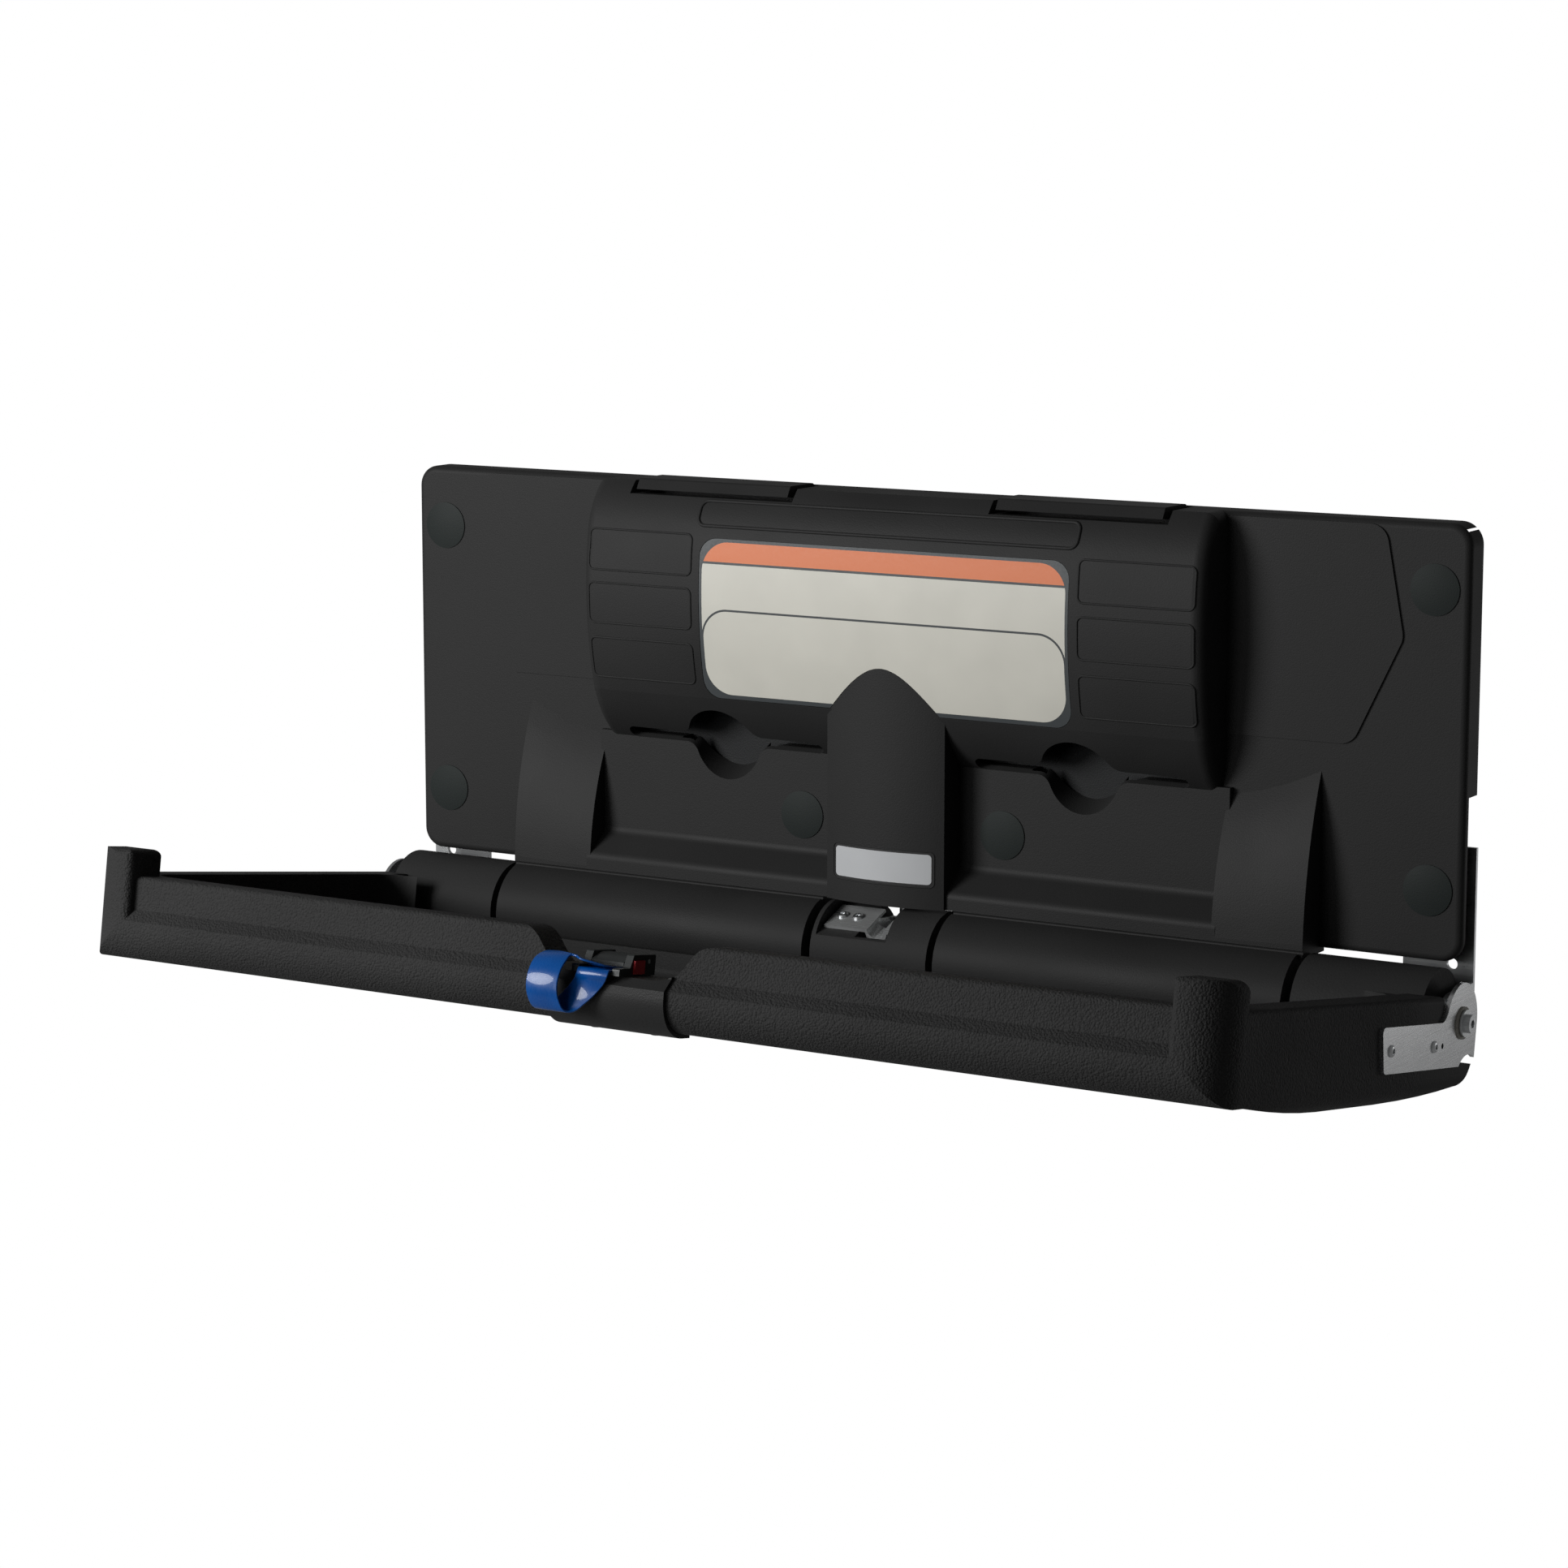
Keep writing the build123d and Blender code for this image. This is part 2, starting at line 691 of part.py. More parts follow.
# Hollow of the hinge barrels, open to the rear, with webs that carry the hinge rod
barrel_len = BARREL_OUTER_X - BARREL_INNER_X
with BuildPart() as barrel_cut:
    bays = max(1, round(barrel_len / (2 * RIB_STEP)))
    bay = (barrel_len - BARREL_WEB * (bays + 1)) / bays
    for side, side_name in SIDES:
        for index in range(bays):
            near = BARREL_INNER_X + BARREL_WEB + index * (bay + BARREL_WEB)
            bar_x(side * near, HINGE_Y, HINGE_Z, BARREL_R - BARREL_WALL, side * bay)
            block(
                (side * near, HINGE_Y, HINGE_Z - BARREL_REAR_HALF),
                (side * (near + bay), 0, HINGE_Z + BARREL_REAR_HALF),
            )

lid_pin_z = LID_TOP - LID_PIN_DROP
notch_rear = LID_PIN_Y + LID_PIN_DROP + LID_GAP
groove_y = depth(LEDGE_D)
groove_z = HINGE_Z + sqrt(BARREL_R**2 - (groove_y - HINGE_Y) ** 2)


def label_window(grow):
    """The label's outline from the front, grown by a clearance."""
    high = LABEL_TOP - LABEL_BOTTOM + 2 * grow
    return RectangleRounded(2 * (LABEL_HALF + grow), high, LABEL_CORNER_R + grow)


label_mid = (LABEL_TOP + LABEL_BOTTOM) / 2
hood_out = depth(HOOD_BELLY_D + OVERRUN)

# Seat of the label plate, cut round the column
with BuildPart() as label_seat:
    with BuildSketch(side_plane(-HOOD_HALF)):
        make_face(hood_band(-OVERRUN, LABEL_SEAT))
    extrude(amount=2 * HOOD_HALF)
    with BuildSketch(front_plane(0)):
        with Locations((0, label_mid)):
            label_window(LABEL_GAP)
    extrude(amount=-hood_out + OVERRUN, mode=Mode.INTERSECT)
    add(column_form.part, mode=Mode.SUBTRACT)

# The label plate, bare, with an arch that clears the column
with BuildPart() as label_plate:
    with BuildSketch(side_plane(-HOOD_HALF)):
        make_face(hood_band(LABEL_SEAT - LABEL_T, LABEL_SEAT))
    extrude(amount=2 * HOOD_HALF)
    with BuildSketch(front_plane(0)):
        with Locations((0, label_mid)):
            label_window(0)
    extrude(amount=-hood_out + OVERRUN, mode=Mode.INTERSECT)
    with BuildSketch(Plane.XY.offset(COLUMN_BOTTOM)):
        make_face(column_outline(-LABEL_GAP))
    extrude(amount=COLUMN_TOP - COLUMN_BOTTOM, mode=Mode.SUBTRACT)
save(label_plate, "label_plate")

# The name plate, bare, and its seat on the column
crown_y = depth(COLUMN_EDGE_D + COLUMN_CROWN)
with BuildPart() as name_seat:
    with BuildSketch(Plane.XY.offset(NAME_Z - NAME_H)):
        make_face(crown_band(NAME_W / 2 + NAME_R, -OVERRUN, NAME_SEAT))
    extrude(amount=2 * NAME_H)
    with BuildSketch(front_plane(0)):
        with Locations((0, NAME_Z)):
            RectangleRounded(NAME_W + 2 * LABEL_GAP, NAME_H + 2 * LABEL_GAP, NAME_R + LABEL_GAP)
    extrude(amount=-crown_y + 2 * OVERRUN, mode=Mode.INTERSECT)
with BuildPart() as name_plate:
    with BuildSketch(Plane.XY.offset(NAME_Z - NAME_H)):
        make_face(crown_band(NAME_W / 2 + NAME_R, NAME_SEAT - NAME_T, NAME_SEAT))
    extrude(amount=2 * NAME_H)
    with BuildSketch(front_plane(0)):
        with Locations((0, NAME_Z)):
            RectangleRounded(NAME_W, NAME_H, NAME_R)
    extrude(amount=-crown_y + 2 * OVERRUN, mode=Mode.INTERSECT)
save(name_plate, "name_plate")

# Where the gas spring's eye sits, midway along the crank pin's swing
half_swing = radians(CLOSE_ANGLE / 2)
pin_y = HINGE_Y + CRANK_R * cos(half_swing)
pin_z = HINGE_Z + CRANK_R * sin(half_swing)
eye_y = (pin_y + HINGE_Y + CRANK_R) / 2
eye_slot_half = (HINGE_Y + CRANK_R - pin_y) / 2 + PIN_R + EYE_PLAY

# The back moulding
with BuildPart() as back_shell:
    with BuildSketch(front_plane(0)):
        with Locations((0, (PANEL_TOP + PANEL_BOTTOM) / 2)):
            RectangleRounded(PANEL_W, PANEL_TOP - PANEL_BOTTOM, PANEL_CORNER_R)
    extrude(amount=PANEL_T)
    fillet(back_shell.faces().sort_by(Axis.Y)[0].edges(), PANEL_EDGE_R)
    for side, side_name in SIDES:
        pad_points = (
            (HOOD_HALF - HOOD_END_R, PAD_TOP),
            (PAD_TOP_X, PAD_TOP),
            (PAD_WAIST_X, PAD_WAIST_Z),
            (PAD_FOOT_X, PAD_FOOT_Z),
            (HOOD_HALF - HOOD_END_R, PAD_FOOT_Z),
        )
        with BuildSketch(front_plane(FACE_Y / 2)):
            with BuildLine():
                corners = [(side * px, pz) for px, pz in pad_points]
                FilletPolyline(*corners, radius=PAD_CORNER_R, close=True)
            make_face()
        extrude(amount=PANEL_T / 2 + PAD_RAISE)
    add(skirt_form.part)
    for wing_form in wing_forms:
        add(wing_form.part)
    add(hood_form.part)
    add(column_form.part)
    for side, side_name in SIDES:
        bar_x(side * BARREL_INNER_X, HINGE_Y, HINGE_Z, BARREL_R, side * barrel_len)
    # Room for the tray's centre knuckle under the column
    block(
        (-BARREL_INNER_X, depth(HOOD_BELLY_D), SKIRT_FOOT_Z - OVERRUN),
        (BARREL_INNER_X, 0, COLUMN_BOTTOM),
        mode=Mode.SUBTRACT,
    )
    # Groove between the ledge and the barrels
    for side, side_name in SIDES:
        bar_x(
            side * (BARREL_INNER_X - OVERRUN),
            groove_y,
            groove_z,
            GROOVE_R,
            side * (WING_OUTER - BARREL_INNER_X + 2 * OVERRUN),
            mode=Mode.SUBTRACT,
        )
    add(rooms_cut.part, mode=Mode.SUBTRACT)
    add(pockets_cut.part, mode=Mode.SUBTRACT)
    add(bay_cut.part, mode=Mode.SUBTRACT)
    add(barrel_cut.part, mode=Mode.SUBTRACT)
    add(mouth_cut.part, mode=Mode.SUBTRACT)
    add(label_seat.part, mode=Mode.SUBTRACT)
    add(name_seat.part, mode=Mode.SUBTRACT)
    for side, side_name in SIDES:
        # Seat of the rear cover
        block(
            (side * cover_in, -COVER_SEAT, cover_foot),
            (side * cover_out, 0, cover_top),
            mode=Mode.SUBTRACT,
        )
        # Notch and opening under the lid, and the bores for its pin
        block(
            (side * shelf_in, notch_rear, shelf_top),
            (side * shelf_out, hood_out, PANEL_TOP + OVERRUN),
            mode=Mode.SUBTRACT,
        )
        block(
            (side * (shelf_in + LID_SHELF_W), -COVER_SEAT - LID_SHELF_W, shelf_bottom - OVERRUN),
            (side * (shelf_out - LID_SHELF_W), depth(HOOD_TOP_D - OVERRUN), shelf_top + OVERRUN),
            mode=Mode.SUBTRACT,
        )
        bar_x(
            side * (LID_IN - LID_PIN_OVER - LID_NOTCH_SIDE),
            LID_PIN_Y,
            lid_pin_z,
            LID_PIN_R,
            side * (LID_OUT - LID_IN + 2 * (LID_PIN_OVER + LID_NOTCH_SIDE)),
            mode=Mode.SUBTRACT,
        )
        # The side return stops short of the wall below its step, clear of the bracket
        block(
            (side * (bolt_x + BOSS_R), 0, PANEL_BOTTOM - OVERRUN),
            (side * (PANEL_W / 2 + OVERRUN), FACE_Y + SIDE_STEP_T, SIDE_STEP_Z),
            mode=Mode.SUBTRACT,
        )
        block(
            (side * (BRACKET_IN - BRACKET_GAP), 0, PANEL_BOTTOM - OVERRUN),
            (side * PANEL_W, -BRACKET_T - BRACKET_GAP, BRACKET_TOP_Z + BRACKET_GAP),
            mode=Mode.SUBTRACT,
        )
    # Wall bolt holes with the seats of their caps
    for bolt in outer_bolts:
        bar_y(bolt[0], bolt[1], 0, BOLT_HOLE_R, PANEL_T + OVERRUN, mode=Mode.SUBTRACT)
        bar_y(
            bolt[0],
            bolt[1],
            FACE_Y + CAP_SEAT_DEPTH,
            CAP_SEAT_R,
            CAP_SEAT_DEPTH + OVERRUN,
            mode=Mode.SUBTRACT,
        )
    for bolt in centre_bolts:
        bar_y(bolt[0], bolt[1], 0, BOLT_HOLE_R, -recess_y + OVERRUN, mode=Mode.SUBTRACT)
        bar_y(
            bolt[0],
            bolt[1],
            recess_y + CAP_SEAT_DEPTH,
            CAP_SEAT_R,
            CAP_SEAT_DEPTH + OVERRUN,
            mode=Mode.SUBTRACT,
        )
    # Bores for the hinge rod
    for side, side_name in SIDES:
        bar_x(
            side * (BARREL_INNER_X - OVERRUN),
            HINGE_Y,
            HINGE_Z,
            ROD_R + RUN_FIT,
            side * (barrel_len + 2 * OVERRUN),
            mode=Mode.SUBTRACT,
        )

    # Pilot holes for the screws of the gas spring's bracket
    for sx in (-1, 1):
        with Locations((sx * CLEVIS_SCREW_X, eye_y, shelf_under - OVERRUN)):
            Cylinder(
                SCREW_SHANK_R + SCREW_GAP,
                SHELF_T + OVERRUN - SCREW_GAP,
                align=BASE_DOWN,
                mode=Mode.SUBTRACT,
            )
    # Pilot holes for the screws of the rear covers
    for x, z in cover_screws:
        bar_y(x, z, -COVER_SEAT, SCREW_SHANK_R + SCREW_GAP, COVER_SHANK_LEN, mode=Mode.SUBTRACT)
save(back_shell, "back_shell")

# Snap-in caps over the wall bolts
cap_places = [(x, FACE_Y, z) for x, z in outer_bolts] + [(x, recess_y, z) for x, z in centre_bolts]
for index, (x, y, z) in enumerate(cap_places):
    plug_in = CAP_PLUG_R - CAP_PLUG_WALL
    with BuildPart() as screw_cap:
        with BuildSketch(side_plane(x)):
            with BuildLine():
                Line((y, z), (y - CAP_DOME, z))
                ThreePointArc(
                    (y - CAP_DOME, z),
                    (y - (CAP_RIM_T + CAP_DOME * 3) / 4, z + CAP_R / 2),
                    (y - CAP_RIM_T, z + CAP_R),
                )
                Polyline(
                    (y - CAP_RIM_T, z + CAP_R),
                    (y, z + CAP_R),
                    (y, z + CAP_PLUG_R),
                    (y + CAP_PLUG_LEN, z + CAP_PLUG_R),
                    (y + CAP_PLUG_LEN, z + plug_in),
                    (y, z + plug_in),
                    (y, z),
                )
            make_face()
        revolve(axis=Axis((x, y, z), (0, 1, 0)))
    save(screw_cap, "screw_cap_" + str(index + 1))

# Rear covers of the compartments with their screws
for side, side_name in SIDES:
    with BuildPart() as cover:
        block(
            (side * (cover_in + COVER_GAP), -COVER_SEAT, cover_foot + COVER_GAP),
            (side * (cover_out - COVER_GAP), -COVER_SEAT + COVER_T, cover_top - COVER_GAP),
        )
        for x, z in cover_screws:
            if x * side > 0:
                bar_y(
                    x, z, 0, SCREW_SHANK_R + SCREW_GAP, COVER_SEAT + OVERRUN, mode=Mode.SUBTRACT
                )
    save(cover, "liner_cover_" + side_name)
with BuildPart() as cover_screw_set:
    for x, z in cover_screws:
        head_y = -COVER_SEAT + COVER_T
        bar_y(x, z, head_y + SCREW_HEAD_H, SCREW_HEAD_R, SCREW_HEAD_H)
        bar_y(x, z, head_y, SCREW_SHANK_R, COVER_T + COVER_SHANK_LEN - SCREW_GAP)
save(cover_screw_set, "liner_cover_screws")

# Lids on full-length pins
lid_foot = LID_TOP - LID_H
lid_front = depth(LID_FRONT_D)
foot_drop = lid_pin_z - lid_foot
foot_turn = sqrt(LID_PIN_DROP**2 - foot_drop**2)
half_turn = asin(foot_drop / LID_PIN_DROP) / 2
for side, side_name in SIDES:
    with BuildPart() as lid:
        with BuildSketch(side_plane(side * LID_IN)):
            with BuildLine():
                rear = LID_PIN_Y + LID_PIN_DROP
                turn = LID_PIN_DROP * cos(radians(45))
                ThreePointArc(
                    (rear, lid_pin_z),
                    (LID_PIN_Y + turn, lid_pin_z + turn),
                    (LID_PIN_Y, LID_TOP),
                )
                Polyline(
                    (LID_PIN_Y, LID_TOP),
                    (lid_front, LID_TOP),
                    (lid_front - LID_FRONT_SLANT, lid_foot),
                    (LID_PIN_Y + foot_turn, lid_foot),
                )
                ThreePointArc(
                    (LID_PIN_Y + foot_turn, lid_foot),
                    (
                        LID_PIN_Y + LID_PIN_DROP * cos(half_turn),
                        lid_pin_z - LID_PIN_DROP * sin(half_turn),
                    ),
                    (rear, lid_pin_z),
                )
            make_face()
        extrude(amount=side * (LID_OUT - LID_IN))
        crest = lid.edges().filter_by(Axis.X).sort_by(Axis.Z)[-2:].sort_by(Axis.Y)[0]
        fillet(crest, LID_EDGE_R)
        block(
            (side * (LID_IN + LID_WALL), LID_PIN_Y - LID_PIN_DROP, lid_foot - OVERRUN),
            (side * (LID_OUT - LID_WALL), lid_front + LID_WALL, LID_TOP - LID_WALL),
            mode=Mode.SUBTRACT,
        )
        # Two feet rest on the ledge and keep the lid level
        for x in (LID_IN, LID_OUT - LID_STOP_W):
            block(
                (side * x, LID_PIN_Y, lid_foot),
                (side * (x + LID_STOP_W), LID_PIN_Y - LID_WALL, shelf_top + BODY_GAP),
            )
        bar_x(
            side * (LID_IN - OVERRUN),
            LID_PIN_Y,
            lid_pin_z,
            LID_PIN_R + RUN_FIT,
            side * (LID_OUT - LID_IN + 2 * OVERRUN),
            mode=Mode.SUBTRACT,
        )
    save(lid, "lid_" + side_name)
    with BuildPart() as lid_pin:
        bar_x(
            side * (LID_IN - LID_PIN_OVER - LID_NOTCH_SIDE),
            LID_PIN_Y,
            lid_pin_z,
            LID_PIN_R,
            side * (LID_OUT - LID_IN + 2 * (LID_PIN_OVER + LID_NOTCH_SIDE)),
        )
    save(lid_pin, "lid_pin_" + side_name)

# Wall brackets: a plate behind the panel, bent forward into an ear at the hinge line
for side, side_name in SIDES:
    ear_out = EAR_X + BRACKET_T
    with BuildPart() as bracket:
        block(
            (side * BRACKET_IN, -BRACKET_T, BRACKET_FOOT_Z),
            (side * ear_out, 0, BRACKET_TOP_Z),
        )
        with BuildSketch(side_plane(side * EAR_X)):
            with Locations((HINGE_Y, HINGE_Z)):
                Circle(EAR_R)
            with BuildLine():
                Polyline(
                    (HINGE_Y, HINGE_Z - EAR_R),
                    (0, BRACKET_FOOT_Z),
                    (0, HINGE_Z + EAR_R),
                    (HINGE_Y, HINGE_Z + EAR_R),
                    close=True,
                )
            make_face()
        extrude(amount=side * BRACKET_T)
        bar_y(side * bolt_x, -bolt_z, 0, BOLT_HOLE_R, 2 * BRACKET_T, mode=Mode.SUBTRACT)
        bar_y(
            side * BRACKET_HOLE_X,
            BRACKET_HOLE_Z,
            0,
            BRACKET_HOLE_R,
            2 * BRACKET_T,
            mode=Mode.SUBTRACT,
        )
        bar_x(
            side * (EAR_X - OVERRUN),
            HINGE_Y,
            HINGE_Z,
            PIVOT_THREAD_R + SCREW_GAP,
            side * (BRACKET_T + 2 * OVERRUN),
            mode=Mode.SUBTRACT,
        )
    save(bracket, "wall_bracket_" + side_name)

# The steel rod through all knuckles, with a threaded hole in each end
rod_half = EAR_X - ROD_END_GAP
with BuildPart() as hinge_rod:
    bar_x(-rod_half, HINGE_Y, HINGE_Z, ROD_R, 2 * rod_half)
    for side, side_name in SIDES:
        bar_x(
            side * rod_half,
            HINGE_Y,
            HINGE_Z,
            PIVOT_THREAD_R,
            -side * (PIVOT_THREAD_LEN + OVERRUN),
            mode=Mode.SUBTRACT,
        )
save(hinge_rod, "hinge_rod")

# Pivot bolts with a socket head, and the washers between the ear and the end plate
plate_out = TRAY_HALF + PLATE_T
bolt_seat = plate_out + PIVOT_BUSH_FLANGE_T + BODY_GAP
for side, side_name in SIDES:
    ear_out = EAR_X + BRACKET_T
    with BuildPart() as pivot_bolt:
        thread_in = rod_half - PIVOT_THREAD_LEN
        bar_x(side * thread_in, HINGE_Y, HINGE_Z, PIVOT_THREAD_R, side * (ear_out - thread_in))
        bar_x(side * ear_out, HINGE_Y, HINGE_Z, PIVOT_SHOULDER_R, side * (bolt_seat - ear_out))
        bar_x(side * bolt_seat, HINGE_Y, HINGE_Z, PIVOT_FLANGE_R, side * PIVOT_FLANGE_T)
        head_x = bolt_seat + PIVOT_FLANGE_T
        bar_x(side * head_x, HINGE_Y, HINGE_Z, PIVOT_HEAD_R, side * PIVOT_HEAD_H)
        socket_x = head_x + PIVOT_HEAD_H - PIVOT_SOCKET_DEPTH
        with BuildSketch(side_plane(side * socket_x)):
            with Locations((HINGE_Y, HINGE_Z)):
                RegularPolygon(PIVOT_SOCKET_R, 6)
        extrude(amount=side * (PIVOT_SOCKET_DEPTH + OVERRUN), mode=Mode.SUBTRACT)
    save(pivot_bolt, "pivot_bolt_" + side_name)
    with BuildPart() as pivot_washer:
        washer_t = TRAY_HALF - ear_out - BODY_GAP
        bar_x(side * ear_out, HINGE_Y, HINGE_Z, WASHER_R, side * washer_t)
        bar_x(
            side * (ear_out - OVERRUN),
            HINGE_Y,
            HINGE_Z,
            PIVOT_SHOULDER_R + RUN_FIT,
            side * (washer_t + 2 * OVERRUN),
            mode=Mode.SUBTRACT,
        )
    save(pivot_washer, "pivot_washer_" + side_name)

# Gas spring: cylinder, rod with its slotted eye, and the clevis it hangs from
with BuildPart() as spring_cylinder:
    with Locations((0, eye_y, SPRING_BODY_Z)):
        Cylinder(SPRING_BODY_R, SPRING_BODY_LEN, align=BASE_DOWN)
    with Locations((0, eye_y, SPRING_BODY_Z + SPRING_CAP_T)):
        Cylinder(
            SPRING_BODY_R - SPRING_WALL,
            SPRING_BODY_LEN - 2 * SPRING_CAP_T,
            align=BASE_DOWN,
            mode=Mode.SUBTRACT,
        )
    with Locations((0, eye_y, SPRING_BODY_Z - OVERRUN)):
        Cylinder(
            SPRING_ROD_R + RUN_FIT,
            SPRING_CAP_T + 2 * OVERRUN,
            align=BASE_DOWN,
            mode=Mode.SUBTRACT,
        )
    spring_top = SPRING_BODY_Z + SPRING_BODY_LEN
    with Locations((0, eye_y, spring_top)):
        Cylinder(SPRING_NECK_R, SPRING_PIN_Z - spring_top, align=BASE_DOWN)
    bar_x(-SPRING_EYE_HALF, eye_y, SPRING_PIN_Z, SPRING_EYE_R, 2 * SPRING_EYE_HALF)
    bar_x(
        -SPRING_EYE_R,
        eye_y,
        SPRING_PIN_Z,
        PIN_R + RUN_FIT,
        2 * SPRING_EYE_R,
        mode=Mode.SUBTRACT,
    )
save(spring_cylinder, "spring_cylinder")

eye_half_y = eye_slot_half + EYE_WALL
eye_half_z = PIN_R + EYE_LIFT + EYE_WALL
with BuildPart() as rod_eye:
    block(
        (-EYE_HALF_W, eye_y - eye_half_y, pin_z - eye_half_z),
        (EYE_HALF_W, eye_y + eye_half_y, pin_z + eye_half_z),
    )
    fillet(rod_eye.edges().filter_by(Axis.X), EYE_WALL)
    with BuildSketch(side_plane(-EYE_HALF_W - OVERRUN)):
        with Locations((eye_y, pin_z)):
            SlotOverall(2 * eye_slot_half, 2 * (PIN_R + EYE_LIFT))
    extrude(amount=2 * (EYE_HALF_W + OVERRUN), mode=Mode.SUBTRACT)
    with Locations((0, eye_y, pin_z + eye_half_z)):
        Cylinder(EYE_HALF_W, EYE_SHOULDER, align=BASE_DOWN)
save(rod_eye, "rod_eye")

rod_foot = pin_z + eye_half_z + EYE_SHOULDER
piston_z = spring_top - PISTON_DOWN
with BuildPart() as spring_rod:
    with Locations((0, eye_y, rod_foot)):
        Cylinder(SPRING_ROD_R, piston_z - rod_foot, align=BASE_DOWN)
    with Locations((0, eye_y, piston_z)):
        Cylinder(SPRING_BODY_R - SPRING_WALL - PISTON_GAP, PISTON_T, align=BASE_DOWN)
save(spring_rod, "spring_rod")

clevis_in = SPRING_EYE_HALF + CLEVIS_GAP
with BuildPart() as spring_bracket:
    block(
        (-CLEVIS_BASE_HALF, eye_y - CLEVIS_HALF_W, shelf_under - CLEVIS_T),
        (CLEVIS_BASE_HALF, eye_y + CLEVIS_HALF_W, shelf_under),
    )
    for sx in (-1, 1):
        with BuildSketch(side_plane(sx * clevis_in)):
            with Locations((eye_y, SPRING_PIN_Z)):
                Circle(CLEVIS_HALF_W)
            with Locations((eye_y, (SPRING_PIN_Z + shelf_under) / 2)):
                Rectangle(2 * CLEVIS_HALF_W, shelf_under - SPRING_PIN_Z)
        extrude(amount=sx * CLEVIS_T)
        with Locations((sx * CLEVIS_SCREW_X, eye_y, shelf_under - CLEVIS_T)):
            Cylinder(SCREW_SHANK_R + SCREW_GAP, 2 * CLEVIS_T, mode=Mode.SUBTRACT)
    bar_x(
        -CLEVIS_BASE_HALF,
        eye_y,
        SPRING_PIN_Z,
        PIN_R + SCREW_GAP,
        2 * CLEVIS_BASE_HALF,
        mode=Mode.SUBTRACT,
    )
save(spring_bracket, "spring_top_bracket")

with BuildPart() as bracket_screws:
    for sx in (-1, 1):
        head_z = shelf_under - CLEVIS_T - SCREW_HEAD_H
        with Locations((sx * CLEVIS_SCREW_X, eye_y, head_z)):
            Cylinder(SCREW_HEAD_R, SCREW_HEAD_H, align=BASE_DOWN)
            Cylinder(SCREW_SHANK_R, shelf_under + SHELF_T - head_z - OVERRUN, align=BASE_DOWN)
save(bracket_screws, "spring_bracket_screws")

pin_half = clevis_in + CLEVIS_T + PIN_END_GAP
with BuildPart() as spring_top_pin:
    bar_x(-pin_half, eye_y, SPRING_PIN_Z, PIN_R, 2 * pin_half)
    for sx in (-1, 1):
        bar_x(sx * pin_half, eye_y, SPRING_PIN_Z, PIN_HEAD_R, sx * PIN_HEAD_T)
save(spring_top_pin, "spring_top_pin")

tilt = radians(TRAY_TILT)
BED_UP = (0, sin(tilt), cos(tilt))
BED_ALONG = (0, -cos(tilt), sin(tilt))


def tray_point(x, along, up):
    """The world place of a point given in the tray's own axes."""
    return (
        x,
        HINGE_Y - along * cos(tilt) + up * sin(tilt),
        HINGE_Z + along * sin(tilt) + up * cos(tilt),
    )


def tray_side(x):
    """A plane across the tray that faces left: its x runs to the rail, its y up."""
    return Plane(origin=(x, HINGE_Y, HINGE_Z), x_dir=BED_ALONG, z_dir=(-1, 0, 0))


def tray_front(along):
    """A plane across the tray that faces its front: its x is world X, its y up."""
    return Plane(origin=tray_point(0, along, 0), x_dir=(1, 0, 0), z_dir=BED_ALONG)


def tray_top(up):
    """A plane along the bed that faces up: its y runs back to the hinge line."""
    return Plane(origin=tray_point(0, 0, up), x_dir=(1, 0, 0), z_dir=BED_UP)


def tray_under(up):
    """A plane along the bed that faces down: its y runs to the front rail."""
    facing = tuple(-way for way in BED_UP)
    return Plane(origin=tray_point(0, 0, up), x_dir=(1, 0, 0), z_dir=facing)


def flared_gap(half, low, high, radius):
    """The gap between the two hooks, which widens through an arc at its open side."""
    turn = radius * (1 - cos(radians(45)))
    with BuildLine() as outline:
        Line((-half, low), (half, low))
        for side in (-1, 1):
            Line((side * half, low), (side * half, high - radius))
            ThreePointArc(
                (side * half, high - radius),
                (side * (half + turn), high - turn),
                (side * (half + radius), high),
            )
            Line((side * (half + radius), high), (side * (half + radius), high + OVERRUN))
        Line((-half - radius, high + OVERRUN), (half + radius, high + OVERRUN))
    return outline.edges()


def tray_block(low, high, mode=Mode.ADD):
    """A box between two corners given in the tray's axes."""
    size = [abs(b - a) for a, b in zip(low, high)]
    middle = tray_point(*[(a + b) / 2 for a, b in zip(low, high)])
    with Locations(Plane(origin=middle, x_dir=(1, 0, 0), z_dir=BED_UP)):
        Box(*size, mode=mode)


def tray_bar_x(x, along, up, radius, length, mode=Mode.ADD):
    """A round bar along X from a point given in the tray's axes."""
    start = tray_point(x, along, up)
    bar_x(start[0], start[1], start[2], radius, length, mode=mode)


def tray_bar_up(x, along, up, radius, length, mode=Mode.ADD):
    """A round bar out of the bed from a point given in the tray's axes."""
    with Locations(Plane(origin=tray_point(x, along, up), x_dir=(1, 0, 0), z_dir=BED_UP)):
        Cylinder(radius, length, align=BASE_DOWN, mode=mode)


def nose_outline(grow, back, top):
    """The front rail's section, grown by a skin, from a line at the back up to a height."""
    low = -NOSE_DOWN - grow
    belly = BELLY_FRONT + grow
    radius = NOSE_R + grow
    turn = radius * cos(radians(45))
    with BuildLine() as outline:
        Line((back, top), (back, low))
        Line((back, low), (belly - radius, low))
        ThreePointArc(
            (belly - radius, low),
            (belly - radius + turn, low + radius - turn),
            (belly, low + radius),
        )
        Polyline(
            (belly, low + radius),
            (belly, LEDGE_UP - BELLY_STEP),
            (RAIL_FRONT + grow, LEDGE_UP),
            (RAIL_FRONT + grow, top),
            (back, top),
        )
    return outline.edges()


